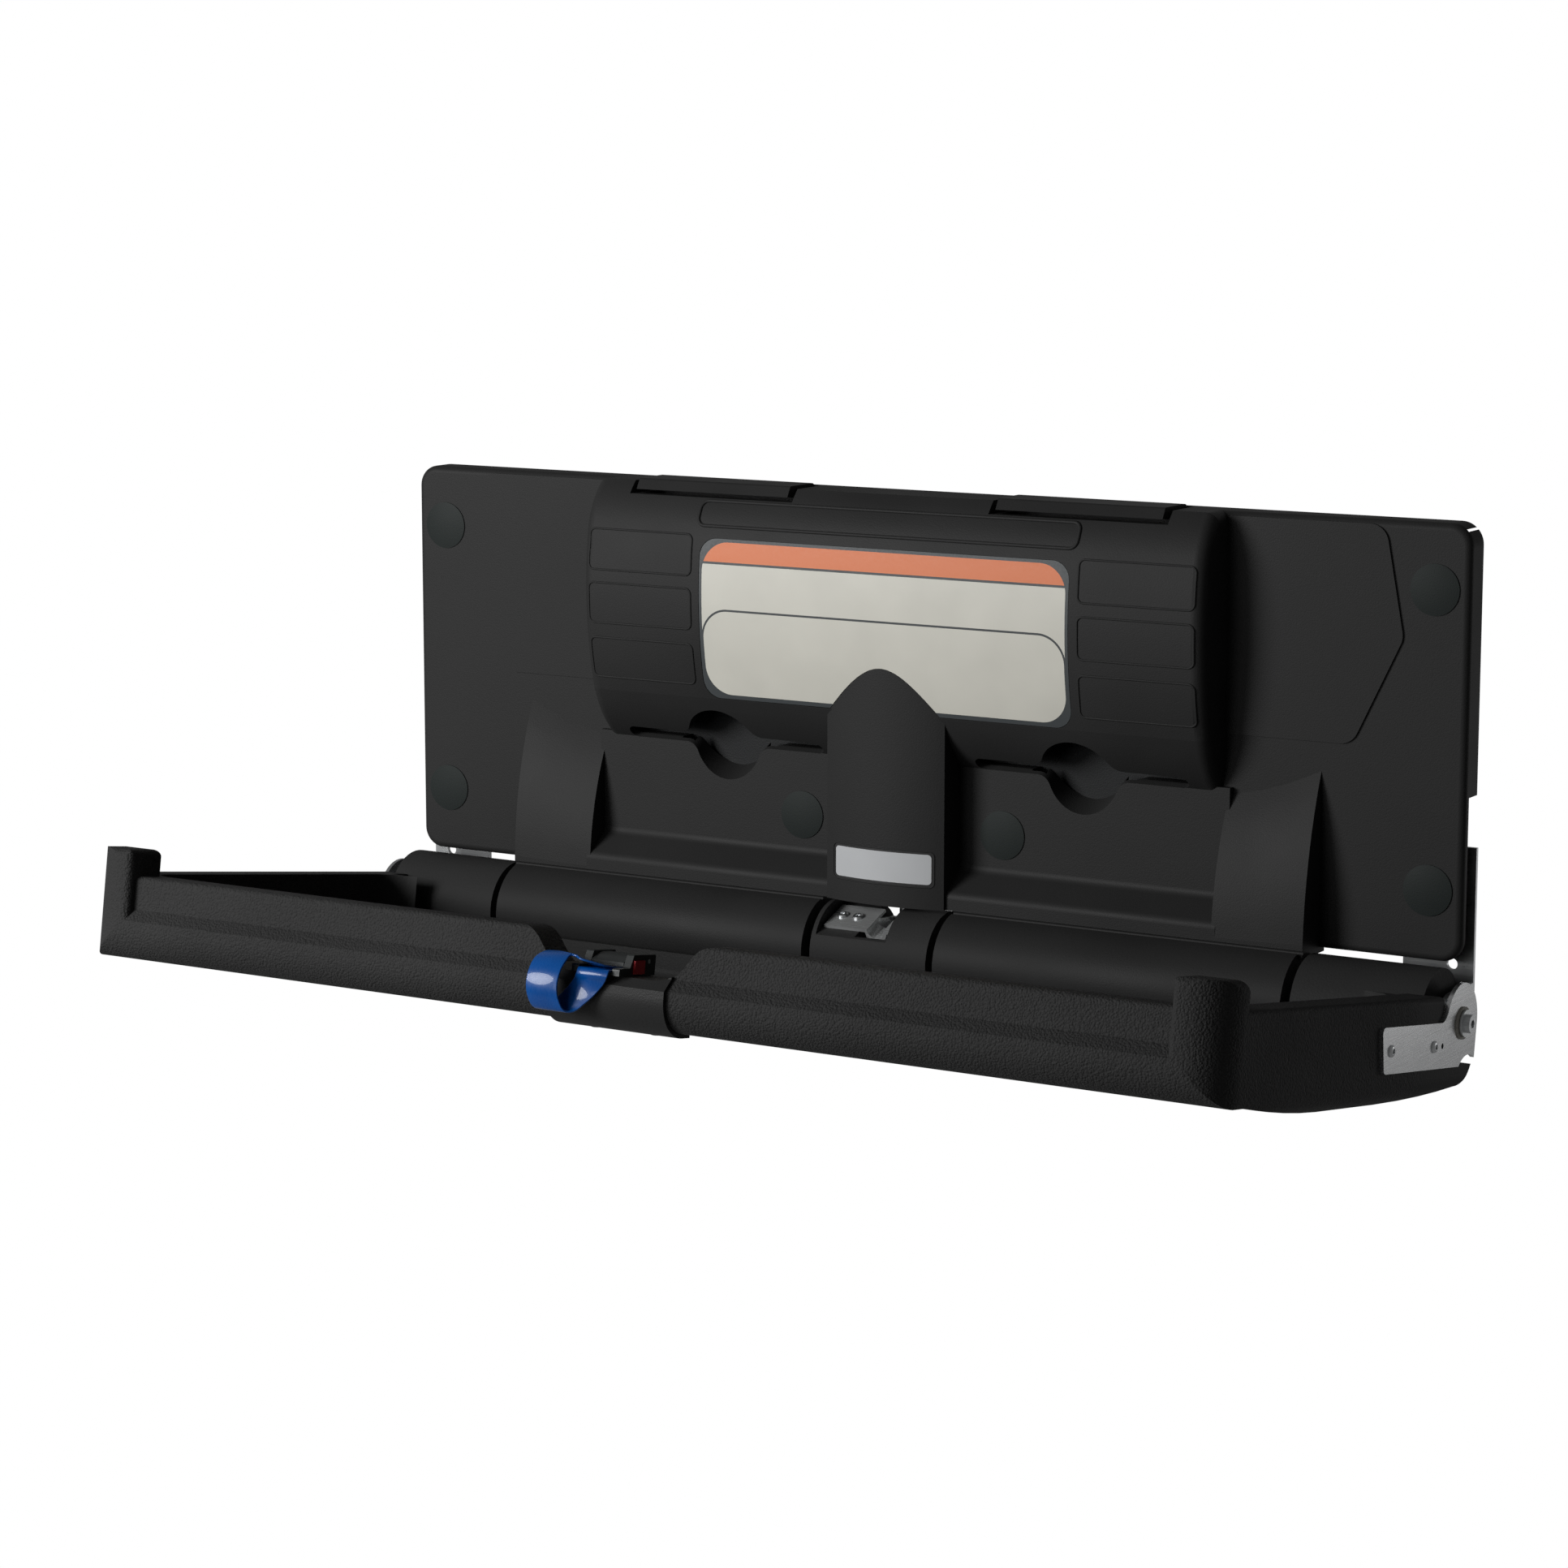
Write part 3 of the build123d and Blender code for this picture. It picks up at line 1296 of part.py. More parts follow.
def dip_outline(drop, top):
    """The region above the rail's centre dip, with the dip lowered by a skin."""
    with BuildLine() as outline:
        for side in (-1, 1):
            Spline(
                (side * DIP_TOP_HALF, RIM_UP - drop),
                (side * DIP_MID_HALF, DIP_MID_UP - drop),
                (side * DIP_FOOT_HALF, DIP_UP - drop),
                tangents=((-side, 0), (-side, 0)),
            )
            Line((side * DIP_TOP_HALF, RIM_UP - drop), (side * DIP_TOP_HALF, top))
        Line((-DIP_FOOT_HALF, DIP_UP - drop), (DIP_FOOT_HALF, DIP_UP - drop))
        Line((-DIP_TOP_HALF, top), (DIP_TOP_HALF, top))
    return outline.edges()


# Where the hinge bushings sit, as a start and a signed length along X
bush_places = []
for side, side_name in SIDES:
    bush_places.append((side * END_KNUCKLE_IN, side * BUSH_LEN))
    bush_places.append((side * END_KNUCKLE_OUT, -side * BUSH_LEN))
    bush_places.append((side * CENTRE_KNUCKLE_HALF, -side * BUSH_LEN))

# The leaning flat on the centre knuckle, seen from the hinge line
lean = radians(FLAT_LEAN)
flat_way = (
    0,
    -sin(lean) * cos(tilt) + cos(lean) * sin(tilt),
    sin(lean) * sin(tilt) + cos(lean) * cos(tilt),
)
flat_plane = Plane(origin=(0, HINGE_Y, HINGE_Z), x_dir=(1, 0, 0), z_dir=flat_way)

bed_half = TRAY_HALF - END_WALL_T
rail_reach = BELLY_FRONT - RAIL_IN
trough_r = BARREL_R + TROUGH_GAP

anchor_screws = (BUCKLE_X - ANCHOR_SCREW_X, BUCKLE_X + ANCHOR_SCREW_X)
saddle_screws = (-SADDLE_HALF / 2, SADDLE_HALF / 2)
saddle_screw_along = (BELLY_FRONT - NOSE_R + RAIL_IN) / 2
leaf_screws = (-LEAF_OUT + 2 * SCREW_HEAD_R, -SLOT_HALF - 2 * SCREW_HEAD_R)

# The bed's hollow, with a rounded floor
with BuildPart() as bed_cut:
    with BuildSketch(tray_top(-BED_FLOOR_DOWN)):
        with Locations((0, -(RAIL_IN + BED_REAR) / 2)):
            RectangleRounded(2 * bed_half, RAIL_IN - BED_REAR, BED_CORNER_R)
    extrude(amount=BED_FLOOR_DOWN + HOOK_UP + OVERRUN)
    fillet(bed_cut.faces().sort_by(Axis.Z)[0].edges(), BED_FILLET_R)

# The setback of the rail between the hooks, with a sloping ledge at its foot
hook_in = TRAY_HALF - HOOK_W
rim_back = RAIL_FRONT - RIM_EDGE_R
rim_turn = RIM_EDGE_R * cos(radians(45))
with BuildPart() as rail_cut:
    with BuildSketch(tray_side(hook_in + HOOK_EDGE_R)):
        with BuildLine():
            ThreePointArc(
                (rim_back, RIM_UP),
                (rim_back + rim_turn, RIM_UP - RIM_EDGE_R + rim_turn),
                (RAIL_FRONT, RIM_UP - RIM_EDGE_R),
            )
            Polyline(
                (RAIL_FRONT, RIM_UP - RIM_EDGE_R),
                (RAIL_FRONT, LEDGE_UP),
                (BELLY_FRONT, LEDGE_UP - BELLY_STEP),
                (BELLY_FRONT + OVERRUN, LEDGE_UP - BELLY_STEP),
                (BELLY_FRONT + OVERRUN, HOOK_UP + OVERRUN),
                (rim_back, HOOK_UP + OVERRUN),
                (rim_back, RIM_UP),
            )
        make_face()
    extrude(amount=2 * (hook_in + HOOK_EDGE_R))
    with BuildSketch(tray_under(HOOK_UP + 2 * OVERRUN)):
        make_face(flared_gap(hook_in, rim_back - OVERRUN, BELLY_FRONT, HOOK_EDGE_R))
    extrude(amount=HOOK_UP + NOSE_DOWN, mode=Mode.INTERSECT)

# The tray moulding
nose_back = RAIL_IN - 2 * SADDLE_T
with BuildPart() as tray_shell:
    # Its section across the hinge line, as one long bar
    with BuildSketch(tray_side(TRAY_HALF)):
        with BuildLine():
            tail_turn = TAIL_R * cos(radians(45))
            nose_turn = NOSE_R * cos(radians(45))
            nose_low = NOSE_R - NOSE_DOWN
            ThreePointArc(
                (-TAIL_BACK, TAIL_R - TAIL_DOWN),
                (-TAIL_BACK + TAIL_R - tail_turn, TAIL_R - tail_turn - TAIL_DOWN),
                (TAIL_R - TAIL_BACK, -TAIL_DOWN),
            )
            ThreePointArc(
                (TAIL_R - TAIL_BACK, -TAIL_DOWN),
                (nose_back / 2, -BELLY_DOWN),
                (nose_back, -NOSE_DOWN),
            )
            Line((nose_back, -NOSE_DOWN), (BELLY_FRONT - NOSE_R, -NOSE_DOWN))
            ThreePointArc(
                (BELLY_FRONT - NOSE_R, -NOSE_DOWN),
                (BELLY_FRONT - NOSE_R + nose_turn, nose_low - nose_turn),
                (BELLY_FRONT, nose_low),
            )
            hook_turn = HOOK_EDGE_R * (1 - cos(radians(45)))
            Line((BELLY_FRONT, nose_low), (BELLY_FRONT, HOOK_UP - HOOK_EDGE_R))
            ThreePointArc(
                (BELLY_FRONT, HOOK_UP - HOOK_EDGE_R),
                (BELLY_FRONT - hook_turn, HOOK_UP - hook_turn),
                (BELLY_FRONT - HOOK_EDGE_R, HOOK_UP),
            )
            Line((BELLY_FRONT - HOOK_EDGE_R, HOOK_UP), (RAIL_IN + HOOK_EDGE_R, HOOK_UP))
            ThreePointArc(
                (RAIL_IN + HOOK_EDGE_R, HOOK_UP),
                (RAIL_IN + hook_turn, HOOK_UP - hook_turn),
                (RAIL_IN, HOOK_UP - HOOK_EDGE_R),
            )
            Polyline(
                (RAIL_IN, HOOK_UP - HOOK_EDGE_R),
                (RAIL_IN, RIM_UP),
                (-TAIL_BACK, RIM_UP),
                (-TAIL_BACK, TAIL_R - TAIL_DOWN),
            )
        make_face()
    extrude(amount=2 * TRAY_HALF)
    # Rounded front corners in plan
    tail_end = TAIL_BACK + TAIL_R
    with BuildSketch(tray_top(-BELLY_DOWN - OVERRUN)) as plan:
        with Locations((0, -(BELLY_FRONT - tail_end) / 2)):
            Rectangle(2 * TRAY_HALF, BELLY_FRONT + tail_end)
        fillet(plan.vertices().group_by(Axis.Y)[0], TRAY_CORNER_R)
    extrude(amount=BELLY_DOWN + HOOK_UP + 2 * OVERRUN, mode=Mode.INTERSECT)
    # Rounded lower and upper edges at both ends
    with BuildSketch(tray_front(-tail_end)) as front:
        with Locations((0, (HOOK_UP - BELLY_DOWN) / 2)):
            Rectangle(2 * TRAY_HALF, HOOK_UP + BELLY_DOWN)
        fillet(front.vertices().group_by(Axis.Y)[0], TRAY_SIDE_R)
        fillet(front.vertices().group_by(Axis.Y)[-1], HOOK_OUTER_R)
    extrude(amount=BELLY_FRONT + 2 * tail_end, mode=Mode.INTERSECT)
    # Only the corners of the rail rise into hooks, and the rail between them is set back
    with BuildSketch(tray_front(RAIL_IN - OVERRUN)):
        make_face(flared_gap(hook_in, RIM_UP, HOOK_UP, HOOK_EDGE_R))
    extrude(amount=rail_reach + 2 * OVERRUN, mode=Mode.SUBTRACT)
    add(rail_cut.part, mode=Mode.SUBTRACT)
    # The end walls' upper edges are rounded
    rim_x = TRAY_HALF - RIM_EDGE_R
    rim_low = RIM_UP - RIM_EDGE_R
    for side, side_name in SIDES:
        with BuildSketch(tray_front(-tail_end)):
            with BuildLine():
                ThreePointArc(
                    (side * rim_x, RIM_UP),
                    (side * (rim_x + rim_turn), rim_low + rim_turn),
                    (side * TRAY_HALF, rim_low),
                )
                Polyline(
                    (side * TRAY_HALF, rim_low),
                    (side * (TRAY_HALF + OVERRUN), rim_low),
                    (side * (TRAY_HALF + OVERRUN), RIM_UP + OVERRUN),
                    (side * rim_x, RIM_UP + OVERRUN),
                    (side * rim_x, RIM_UP),
                )
            make_face()
        extrude(amount=RAIL_IN + tail_end, mode=Mode.SUBTRACT)
    # The rear between the end walls is low, and hollowed round the hinge barrels
    tray_block(
        (-bed_half, -tail_end, BED_REAR_UP),
        (bed_half, BED_REAR, RIM_UP + OVERRUN),
        mode=Mode.SUBTRACT,
    )
    for side, side_name in SIDES:
        tray_block(
            (side * bed_half, -tail_end, -EAR_SWEEP_DOWN),
            (side * (TRAY_HALF + OVERRUN), END_WALL_REAR, RIM_UP + OVERRUN),
            mode=Mode.SUBTRACT,
        )
        tray_bar_x(
            side * CENTRE_KNUCKLE_HALF,
            0,
            0,
            trough_r,
            side * (END_KNUCKLE_IN - CENTRE_KNUCKLE_HALF),
            mode=Mode.SUBTRACT,
        )
        tray_bar_x(
            side * END_KNUCKLE_IN, 0, 0, KNUCKLE_R, side * (END_KNUCKLE_OUT - END_KNUCKLE_IN)
        )
    tray_bar_x(-CENTRE_KNUCKLE_HALF, 0, 0, KNUCKLE_R, 2 * CENTRE_KNUCKLE_HALF)
    column_clear = COLUMN_HALF + KNUCKLE_GAP
    tray_block(
        (-column_clear, KNUCKLE_R + OVERRUN, COLUMN_NOTCH_UP),
        (column_clear, BED_REAR + OVERRUN, RIM_UP),
        mode=Mode.SUBTRACT,
    )
    add(bed_cut.part, mode=Mode.SUBTRACT)
    # The dip in the middle of the rail, deeper under the saddle cover
    with BuildSketch(tray_front(RAIL_IN - OVERRUN)):
        make_face(dip_outline(0, HOOK_UP))
    extrude(amount=rail_reach + 2 * OVERRUN, mode=Mode.SUBTRACT)
    saddle_seat_half = SADDLE_HALF + SADDLE_GAP
    skin = SADDLE_T + SADDLE_GAP
    with BuildSketch(tray_front(RAIL_IN - OVERRUN)):
        make_face(dip_outline(skin, HOOK_UP))
        Rectangle(2 * saddle_seat_half, 2 * NOSE_DOWN, mode=Mode.INTERSECT)
    extrude(amount=rail_reach + 2 * OVERRUN, mode=Mode.SUBTRACT)
    # Hollow of the rail and of the end walls, as one channel
    channel_low = SKIN - NOSE_DOWN
    channel_top = RIM_UP - SKIN
    dip_clear = DIP_TOP_HALF + SKIN
    end_in = bed_half + SKIN
    end_out = TRAY_HALF - SKIN
    rail_back = RAIL_IN + SKIN
    rail_face = RAIL_FRONT - SKIN
    turn_x = TRAY_HALF - TRAY_CORNER_R
    turn_along = BELLY_FRONT - TRAY_CORNER_R
    turn_in = (TRAY_CORNER_R - SKIN) * cos(radians(45))
    for side, side_name in SIDES:
        tray_block(
            (side * dip_clear, rail_back, channel_low + BED_FILLET_R),
            (side * (end_in + OVERRUN), rail_face, channel_top),
            mode=Mode.SUBTRACT,
        )
        tray_block(
            (side * end_in, BED_REAR, channel_low + BED_FILLET_R),
            (side * end_out, turn_along, channel_top),
            mode=Mode.SUBTRACT,
        )
        tray_block(
            (side * end_in, turn_along - OVERRUN, channel_low + BED_FILLET_R),
            (side * (turn_x + turn_in), min(turn_along + turn_in, rail_face), channel_top),
            mode=Mode.SUBTRACT,
        )
        tray_bar_up(
            side * (end_in + end_out) / 2,
            BED_REAR + END_WALL_T,
            -BELLY_DOWN - OVERRUN,
            SKIN,
            BELLY_DOWN - NOSE_DOWN + 2 * BED_FILLET_R,
            mode=Mode.SUBTRACT,
        )
    # Hinge bore with seats for the bushings
    tray_bar_x(-TRAY_HALF, 0, 0, ROD_R + BUSH_WALL / 2, 2 * TRAY_HALF, mode=Mode.SUBTRACT)
    for x, length in bush_places:
        tray_bar_x(x, 0, 0, ROD_R + BUSH_WALL + RUN_FIT, length, mode=Mode.SUBTRACT)
    # Slot for the gas spring's rod, and the flat of the crank bracket
    tray_block(
        (-SLOT_HALF, -KNUCKLE_R - OVERRUN, SLOT_UP),
        (SLOT_HALF, SLOT_FRONT, KNUCKLE_R + OVERRUN),
        mode=Mode.SUBTRACT,
    )
    tray_block(
        (-SLOT_HALF, SLOT_FRONT, SLOT_FRONT_UP),
        (SLOT_HALF, KNUCKLE_R + OVERRUN, KNUCKLE_R + OVERRUN),
        mode=Mode.SUBTRACT,
    )
    with Locations(flat_plane.offset(FLAT_DIST)):
        with Locations(((SLOT_HALF - FLAT_LEFT) / 2, 0)):
            Box(FLAT_LEFT + SLOT_HALF, 2 * KNUCKLE_R, KNUCKLE_R, align=BASE_DOWN, mode=Mode.SUBTRACT)
    tray_bar_x(-SLOT_HALF, 0, 0, CHEEK_HUB_R + BODY_GAP, 2 * SLOT_HALF, mode=Mode.SUBTRACT)
    # Pilot holes for the screws
    for side, side_name in SIDES:
        for along in PLATE_SCREW_ALONG:
            tray_bar_x(
                side * TRAY_HALF,
                along,
                -PLATE_SCREW_DOWN,
                SCREW_SHANK_R + SCREW_GAP,
                -side * SCREW_SHANK_LEN,
                mode=Mode.SUBTRACT,
            )
    for place in anchor_screws:
        tray_bar_up(
            place,
            ANCHOR_ALONG,
            -BED_FLOOR_DOWN - ANCHOR_SHANK_LEN,
            SCREW_SHANK_R + SCREW_GAP,
            ANCHOR_SHANK_LEN + OVERRUN,
            mode=Mode.SUBTRACT,
        )
    for place in saddle_screws:
        tray_bar_up(
            place,
            saddle_screw_along,
            -BELLY_DOWN,
            SCREW_SHANK_R + SCREW_GAP,
            BELLY_DOWN - NOSE_DOWN + SCREW_SHANK_LEN,
            mode=Mode.SUBTRACT,
        )
    for place in leaf_screws:
        with Locations(flat_plane.offset(FLAT_DIST - SCREW_SHANK_LEN)):
            with Locations((place, 0)):
                Cylinder(
                    SCREW_SHANK_R + SCREW_GAP,
                    SCREW_SHANK_LEN + OVERRUN,
                    align=BASE_DOWN,
                    mode=Mode.SUBTRACT,
                )
save(tray_shell, "tray_shell")

# The saddle cover, a thin skin over the dip and the nose of the rail
with BuildPart() as saddle_cover:
    with BuildSketch(tray_side(SADDLE_HALF)):
        make_face(nose_outline(SADDLE_T, RAIL_IN - SADDLE_T, HOOK_UP))
    extrude(amount=2 * SADDLE_HALF)
    with BuildSketch(tray_front(RAIL_IN - SADDLE_T - OVERRUN)):
        make_face(dip_outline(0, HOOK_UP + OVERRUN))
    extrude(amount=rail_reach + 3 * SADDLE_T + OVERRUN, mode=Mode.SUBTRACT)
    with BuildPart(mode=Mode.PRIVATE) as rail_core:
        with BuildSketch(tray_side(SADDLE_HALF + OVERRUN)):
            make_face(nose_outline(SADDLE_GAP, RAIL_IN - SADDLE_GAP, HOOK_UP))
        extrude(amount=2 * (SADDLE_HALF + OVERRUN))
        with BuildSketch(tray_front(RAIL_IN - SADDLE_T - OVERRUN)):
            make_face(dip_outline(SADDLE_T, HOOK_UP + OVERRUN))
        extrude(amount=rail_reach + 3 * SADDLE_T + OVERRUN, mode=Mode.SUBTRACT)
    add(rail_core.part, mode=Mode.SUBTRACT)
    tray_block(
        (-SADDLE_HALF - OVERRUN, RAIL_IN - SADDLE_T - OVERRUN, -NOSE_DOWN - SADDLE_T - OVERRUN),
        (SADDLE_HALF + OVERRUN, RAIL_IN, SADDLE_LIP_UP),
        mode=Mode.SUBTRACT,
    )
    for place in saddle_screws:
        tray_bar_up(
            place,
            saddle_screw_along,
            -BELLY_DOWN,
            SCREW_SHANK_R + SCREW_GAP,
            BELLY_DOWN - NOSE_DOWN + OVERRUN,
            mode=Mode.SUBTRACT,
        )
save(saddle_cover, "saddle_cover")

with BuildPart() as saddle_screw_set:
    under = -NOSE_DOWN - SADDLE_T
    for place in saddle_screws:
        tray_bar_up(place, saddle_screw_along, under - SCREW_HEAD_H, SCREW_HEAD_R, SCREW_HEAD_H)
        tray_bar_up(
            place, saddle_screw_along, under, SCREW_SHANK_R, SADDLE_T + SCREW_SHANK_LEN - SCREW_GAP
        )
save(saddle_screw_set, "saddle_screws")

# Steel end plates: a lobe round the pivot and an arm screwed to the end wall
for side, side_name in SIDES:
    with BuildPart() as hinge_plate:
        with BuildSketch(tray_side(side * TRAY_HALF)) as outline:
            Circle(LOBE_R)
            with BuildLine():
                Polyline(
                    (0, ARM_UP),
                    (ARM_END, ARM_UP),
                    (ARM_END - ARM_SLANT, -ARM_DOWN),
                    (0, -ARM_DOWN),
                    close=True,
                )
            make_face()
            with BuildLine():
                Line((0, 0), (-LOBE_R, 0))
                Line((-LOBE_R, 0), (-LOBE_R, -HEEL_DOWN))
                ThreePointArc(
                    (-LOBE_R, -HEEL_DOWN),
                    (-LOBE_R / 2, HEEL_SCALLOP - (HEEL_DOWN + ARM_DOWN) / 2),
                    (0, -ARM_DOWN),
                )
                Line((0, -ARM_DOWN), (0, 0))
            make_face()
            with BuildLine():
                Line((-LOBE_R, -HEEL_DOWN), (-LOBE_R, -2 * ARM_DOWN))
                Line((-LOBE_R, -2 * ARM_DOWN), (0, -2 * ARM_DOWN))
                Line((0, -2 * ARM_DOWN), (0, -ARM_DOWN))
                ThreePointArc(
                    (0, -ARM_DOWN),
                    (-LOBE_R / 2, HEEL_SCALLOP - (HEEL_DOWN + ARM_DOWN) / 2),
                    (-LOBE_R, -HEEL_DOWN),
                )
            make_face(mode=Mode.SUBTRACT)
            crook = [v for v in outline.vertices() if abs(v.Y - ARM_UP) < RUN_FIT and v.X < ARM_END / 2]
            fillet(crook, LOBE_FILLET_R)
            tips = [v for v in outline.vertices() if v.X > ARM_END - ARM_SLANT - OVERRUN]
            fillet(tips, ARM_CORNER_R)
            Circle(PIVOT_BUSH_R + RUN_FIT, mode=Mode.SUBTRACT)
            with Locations(*[(along, -PLATE_SCREW_DOWN) for along in PLATE_SCREW_ALONG]):
                Circle(SCREW_SHANK_R + SCREW_GAP, mode=Mode.SUBTRACT)
            with Locations((PLATE_SPARE_ALONG, -PLATE_SCREW_DOWN)):
                Circle(SCREW_SHANK_R, mode=Mode.SUBTRACT)
        extrude(amount=-side * PLATE_T)
    save(hinge_plate, "hinge_plate_" + side_name)
    with BuildPart() as plate_screws:
        for along in PLATE_SCREW_ALONG:
            tray_bar_x(
                side * plate_out, along, -PLATE_SCREW_DOWN, SCREW_HEAD_R, side * SCREW_HEAD_H
            )
            tray_bar_x(
                side * plate_out,
                along,
                -PLATE_SCREW_DOWN,
                SCREW_SHANK_R,
                -side * (PLATE_T + SCREW_SHANK_LEN - SCREW_GAP),
            )
    save(plate_screws, "plate_screws_" + side_name)
    with BuildPart() as pivot_bushing:
        tray_bar_x(side * TRAY_HALF, 0, 0, PIVOT_BUSH_R, side * PLATE_T)
        tray_bar_x(side * plate_out, 0, 0, PIVOT_BUSH_FLANGE_R, side * PIVOT_BUSH_FLANGE_T)
        tray_bar_x(
            side * (TRAY_HALF - OVERRUN),
            0,
            0,
            PIVOT_SHOULDER_R + RUN_FIT,
            side * (PLATE_T + PIVOT_BUSH_FLANGE_T + 2 * OVERRUN),
            mode=Mode.SUBTRACT,
        )
    save(pivot_bushing, "pivot_bushing_" + side_name)

# Nylon bushings of the hinge rod, two in each knuckle
with BuildPart() as hinge_bushings:
    for x, length in bush_places:
        tray_bar_x(x, 0, 0, ROD_R + BUSH_WALL, length)
        over = OVERRUN if length > 0 else -OVERRUN
        tray_bar_x(x - over, 0, 0, ROD_R + RUN_FIT, length + 2 * over, mode=Mode.SUBTRACT)
save(hinge_bushings, "hinge_bushings")

# Crank bracket: a leaf on the flat, a trough that clears the rod, and two cheeks
trough_out_r = TROUGH_IN_R + CHEEK_T
trough_axis = TROUGH_DIST + TROUGH_IN_R
leaf_top = FLAT_DIST + LEAF_T
crank_out = CHEEK_IN + CHEEK_T
pin_along = -(pin_y - HINGE_Y) * cos(tilt) + (pin_z - HINGE_Z) * sin(tilt)
pin_up = (pin_y - HINGE_Y) * sin(tilt) + (pin_z - HINGE_Z) * cos(tilt)
trough_mid = (LEAF_HALF - LEAF_REAR) / 2
trough_len = LEAF_HALF + LEAF_REAR


def flat_point(along_flat, dist):
    """The tray's own axes of a point on or under the flat, in a side plane."""
    return (
        sin(lean) * dist + cos(lean) * along_flat,
        cos(lean) * dist - sin(lean) * along_flat,
    )


cheek_top_rear = flat_point(-LEAF_REAR, leaf_top)
cheek_top_front = flat_point(LEAF_HALF, leaf_top)
with BuildPart() as crank_bracket:
    with Locations(flat_plane.offset(FLAT_DIST)):
        with Locations((-(LEAF_OUT + CHEEK_IN) / 2, 0)):
            Box(LEAF_OUT - CHEEK_IN, 2 * LEAF_HALF, LEAF_T, align=BASE_DOWN)
        with Locations(((FLANGE_OUT + CHEEK_IN) / 2, -trough_mid)):
            Box(FLANGE_OUT - CHEEK_IN, trough_len, LEAF_T, align=BASE_DOWN)
    trough_plane = Plane(
        origin=flat_plane.from_local_coords(Vector(0, LEAF_REAR, trough_axis)),
        x_dir=(1, 0, 0),
        z_dir=-flat_plane.y_dir,
    )
    with BuildSketch(trough_plane):
        Circle(trough_out_r)
        Circle(TROUGH_IN_R, mode=Mode.SUBTRACT)
        with Locations((0, leaf_top - trough_axis)):
            Rectangle(
                4 * trough_out_r,
                4 * trough_out_r,
                align=(Align.CENTER, Align.MIN),
                mode=Mode.SUBTRACT,
            )
    extrude(amount=trough_len)
    for side, side_name in SIDES:
        with BuildSketch(tray_side(side * CHEEK_IN)):
            Circle(CHEEK_HUB_R)
            with Locations((pin_along, pin_up)):
                Circle(CHEEK_EYE_R)
            with BuildLine():
                Polyline(
                    (0, -CHEEK_HUB_R / 2),
                    (pin_along - CHEEK_EYE_R / 2, pin_up - CHEEK_EYE_R / 2),
                    (pin_along, pin_up + CHEEK_EYE_R),
                    cheek_top_rear,
                    cheek_top_front,
                    (CHEEK_HUB_R, 0),
                    close=True,
                )
            make_face()
            Circle(ROD_R + BODY_GAP, mode=Mode.SUBTRACT)
            with Locations((pin_along, pin_up)):
                Circle(PIN_R + RUN_FIT, mode=Mode.SUBTRACT)
        extrude(amount=-side * CHEEK_T)
    for place in leaf_screws:
        with Locations(flat_plane.offset(FLAT_DIST)):
            with Locations((place, 0)):
                Cylinder(SCREW_SHANK_R + SCREW_GAP, 2 * LEAF_T, mode=Mode.SUBTRACT)
save(crank_bracket, "crank_bracket")

with BuildPart() as crank_screws:
    for place in leaf_screws:
        with Locations(flat_plane.offset(leaf_top)):
            with Locations((place, 0)):
                Cylinder(SCREW_HEAD_R, SCREW_HEAD_H, align=BASE_DOWN)
        with Locations(flat_plane.offset(FLAT_DIST - SCREW_SHANK_LEN + SCREW_GAP)):
            with Locations((place, 0)):
                Cylinder(SCREW_SHANK_R, SCREW_SHANK_LEN + LEAF_T, align=BASE_DOWN)
save(crank_screws, "crank_screws")

crank_pin_half = crank_out + PIN_END_GAP
with BuildPart() as crank_pin:
    tray_bar_x(-crank_pin_half, pin_along, pin_up, PIN_R, 2 * crank_pin_half)
    for sx in (-1, 1):
        tray_bar_x(sx * crank_pin_half, pin_along, pin_up, PIN_HEAD_R, sx * PIN_HEAD_T)
save(crank_pin, "crank_pin")

# The cam buckle's own axes: its x runs back under the cam, its y to the left, its z up
buckle_plane = Plane(
    origin=tray_point(BUCKLE_X, BUCKLE_ALONG, DIP_UP + STRAP_LIFT),
    x_dir=tuple(-part for part in BED_ALONG),
    z_dir=BED_UP,
)


def buckle_block(low, high, mode=Mode.ADD):
    """A box between two corners in the buckle's axes."""
    size = [abs(b - a) for a, b in zip(low, high)]
    with Locations(buckle_plane):
        with Locations(tuple((a + b) / 2 for a, b in zip(low, high))):
            Box(*size, mode=mode)


def buckle_side(across):
    """A plane across the buckle that faces its right side."""
    return Plane(
        origin=buckle_plane.from_local_coords(Vector(0, across, 0)),
        x_dir=buckle_plane.x_dir,
        z_dir=-buckle_plane.y_dir,
    )


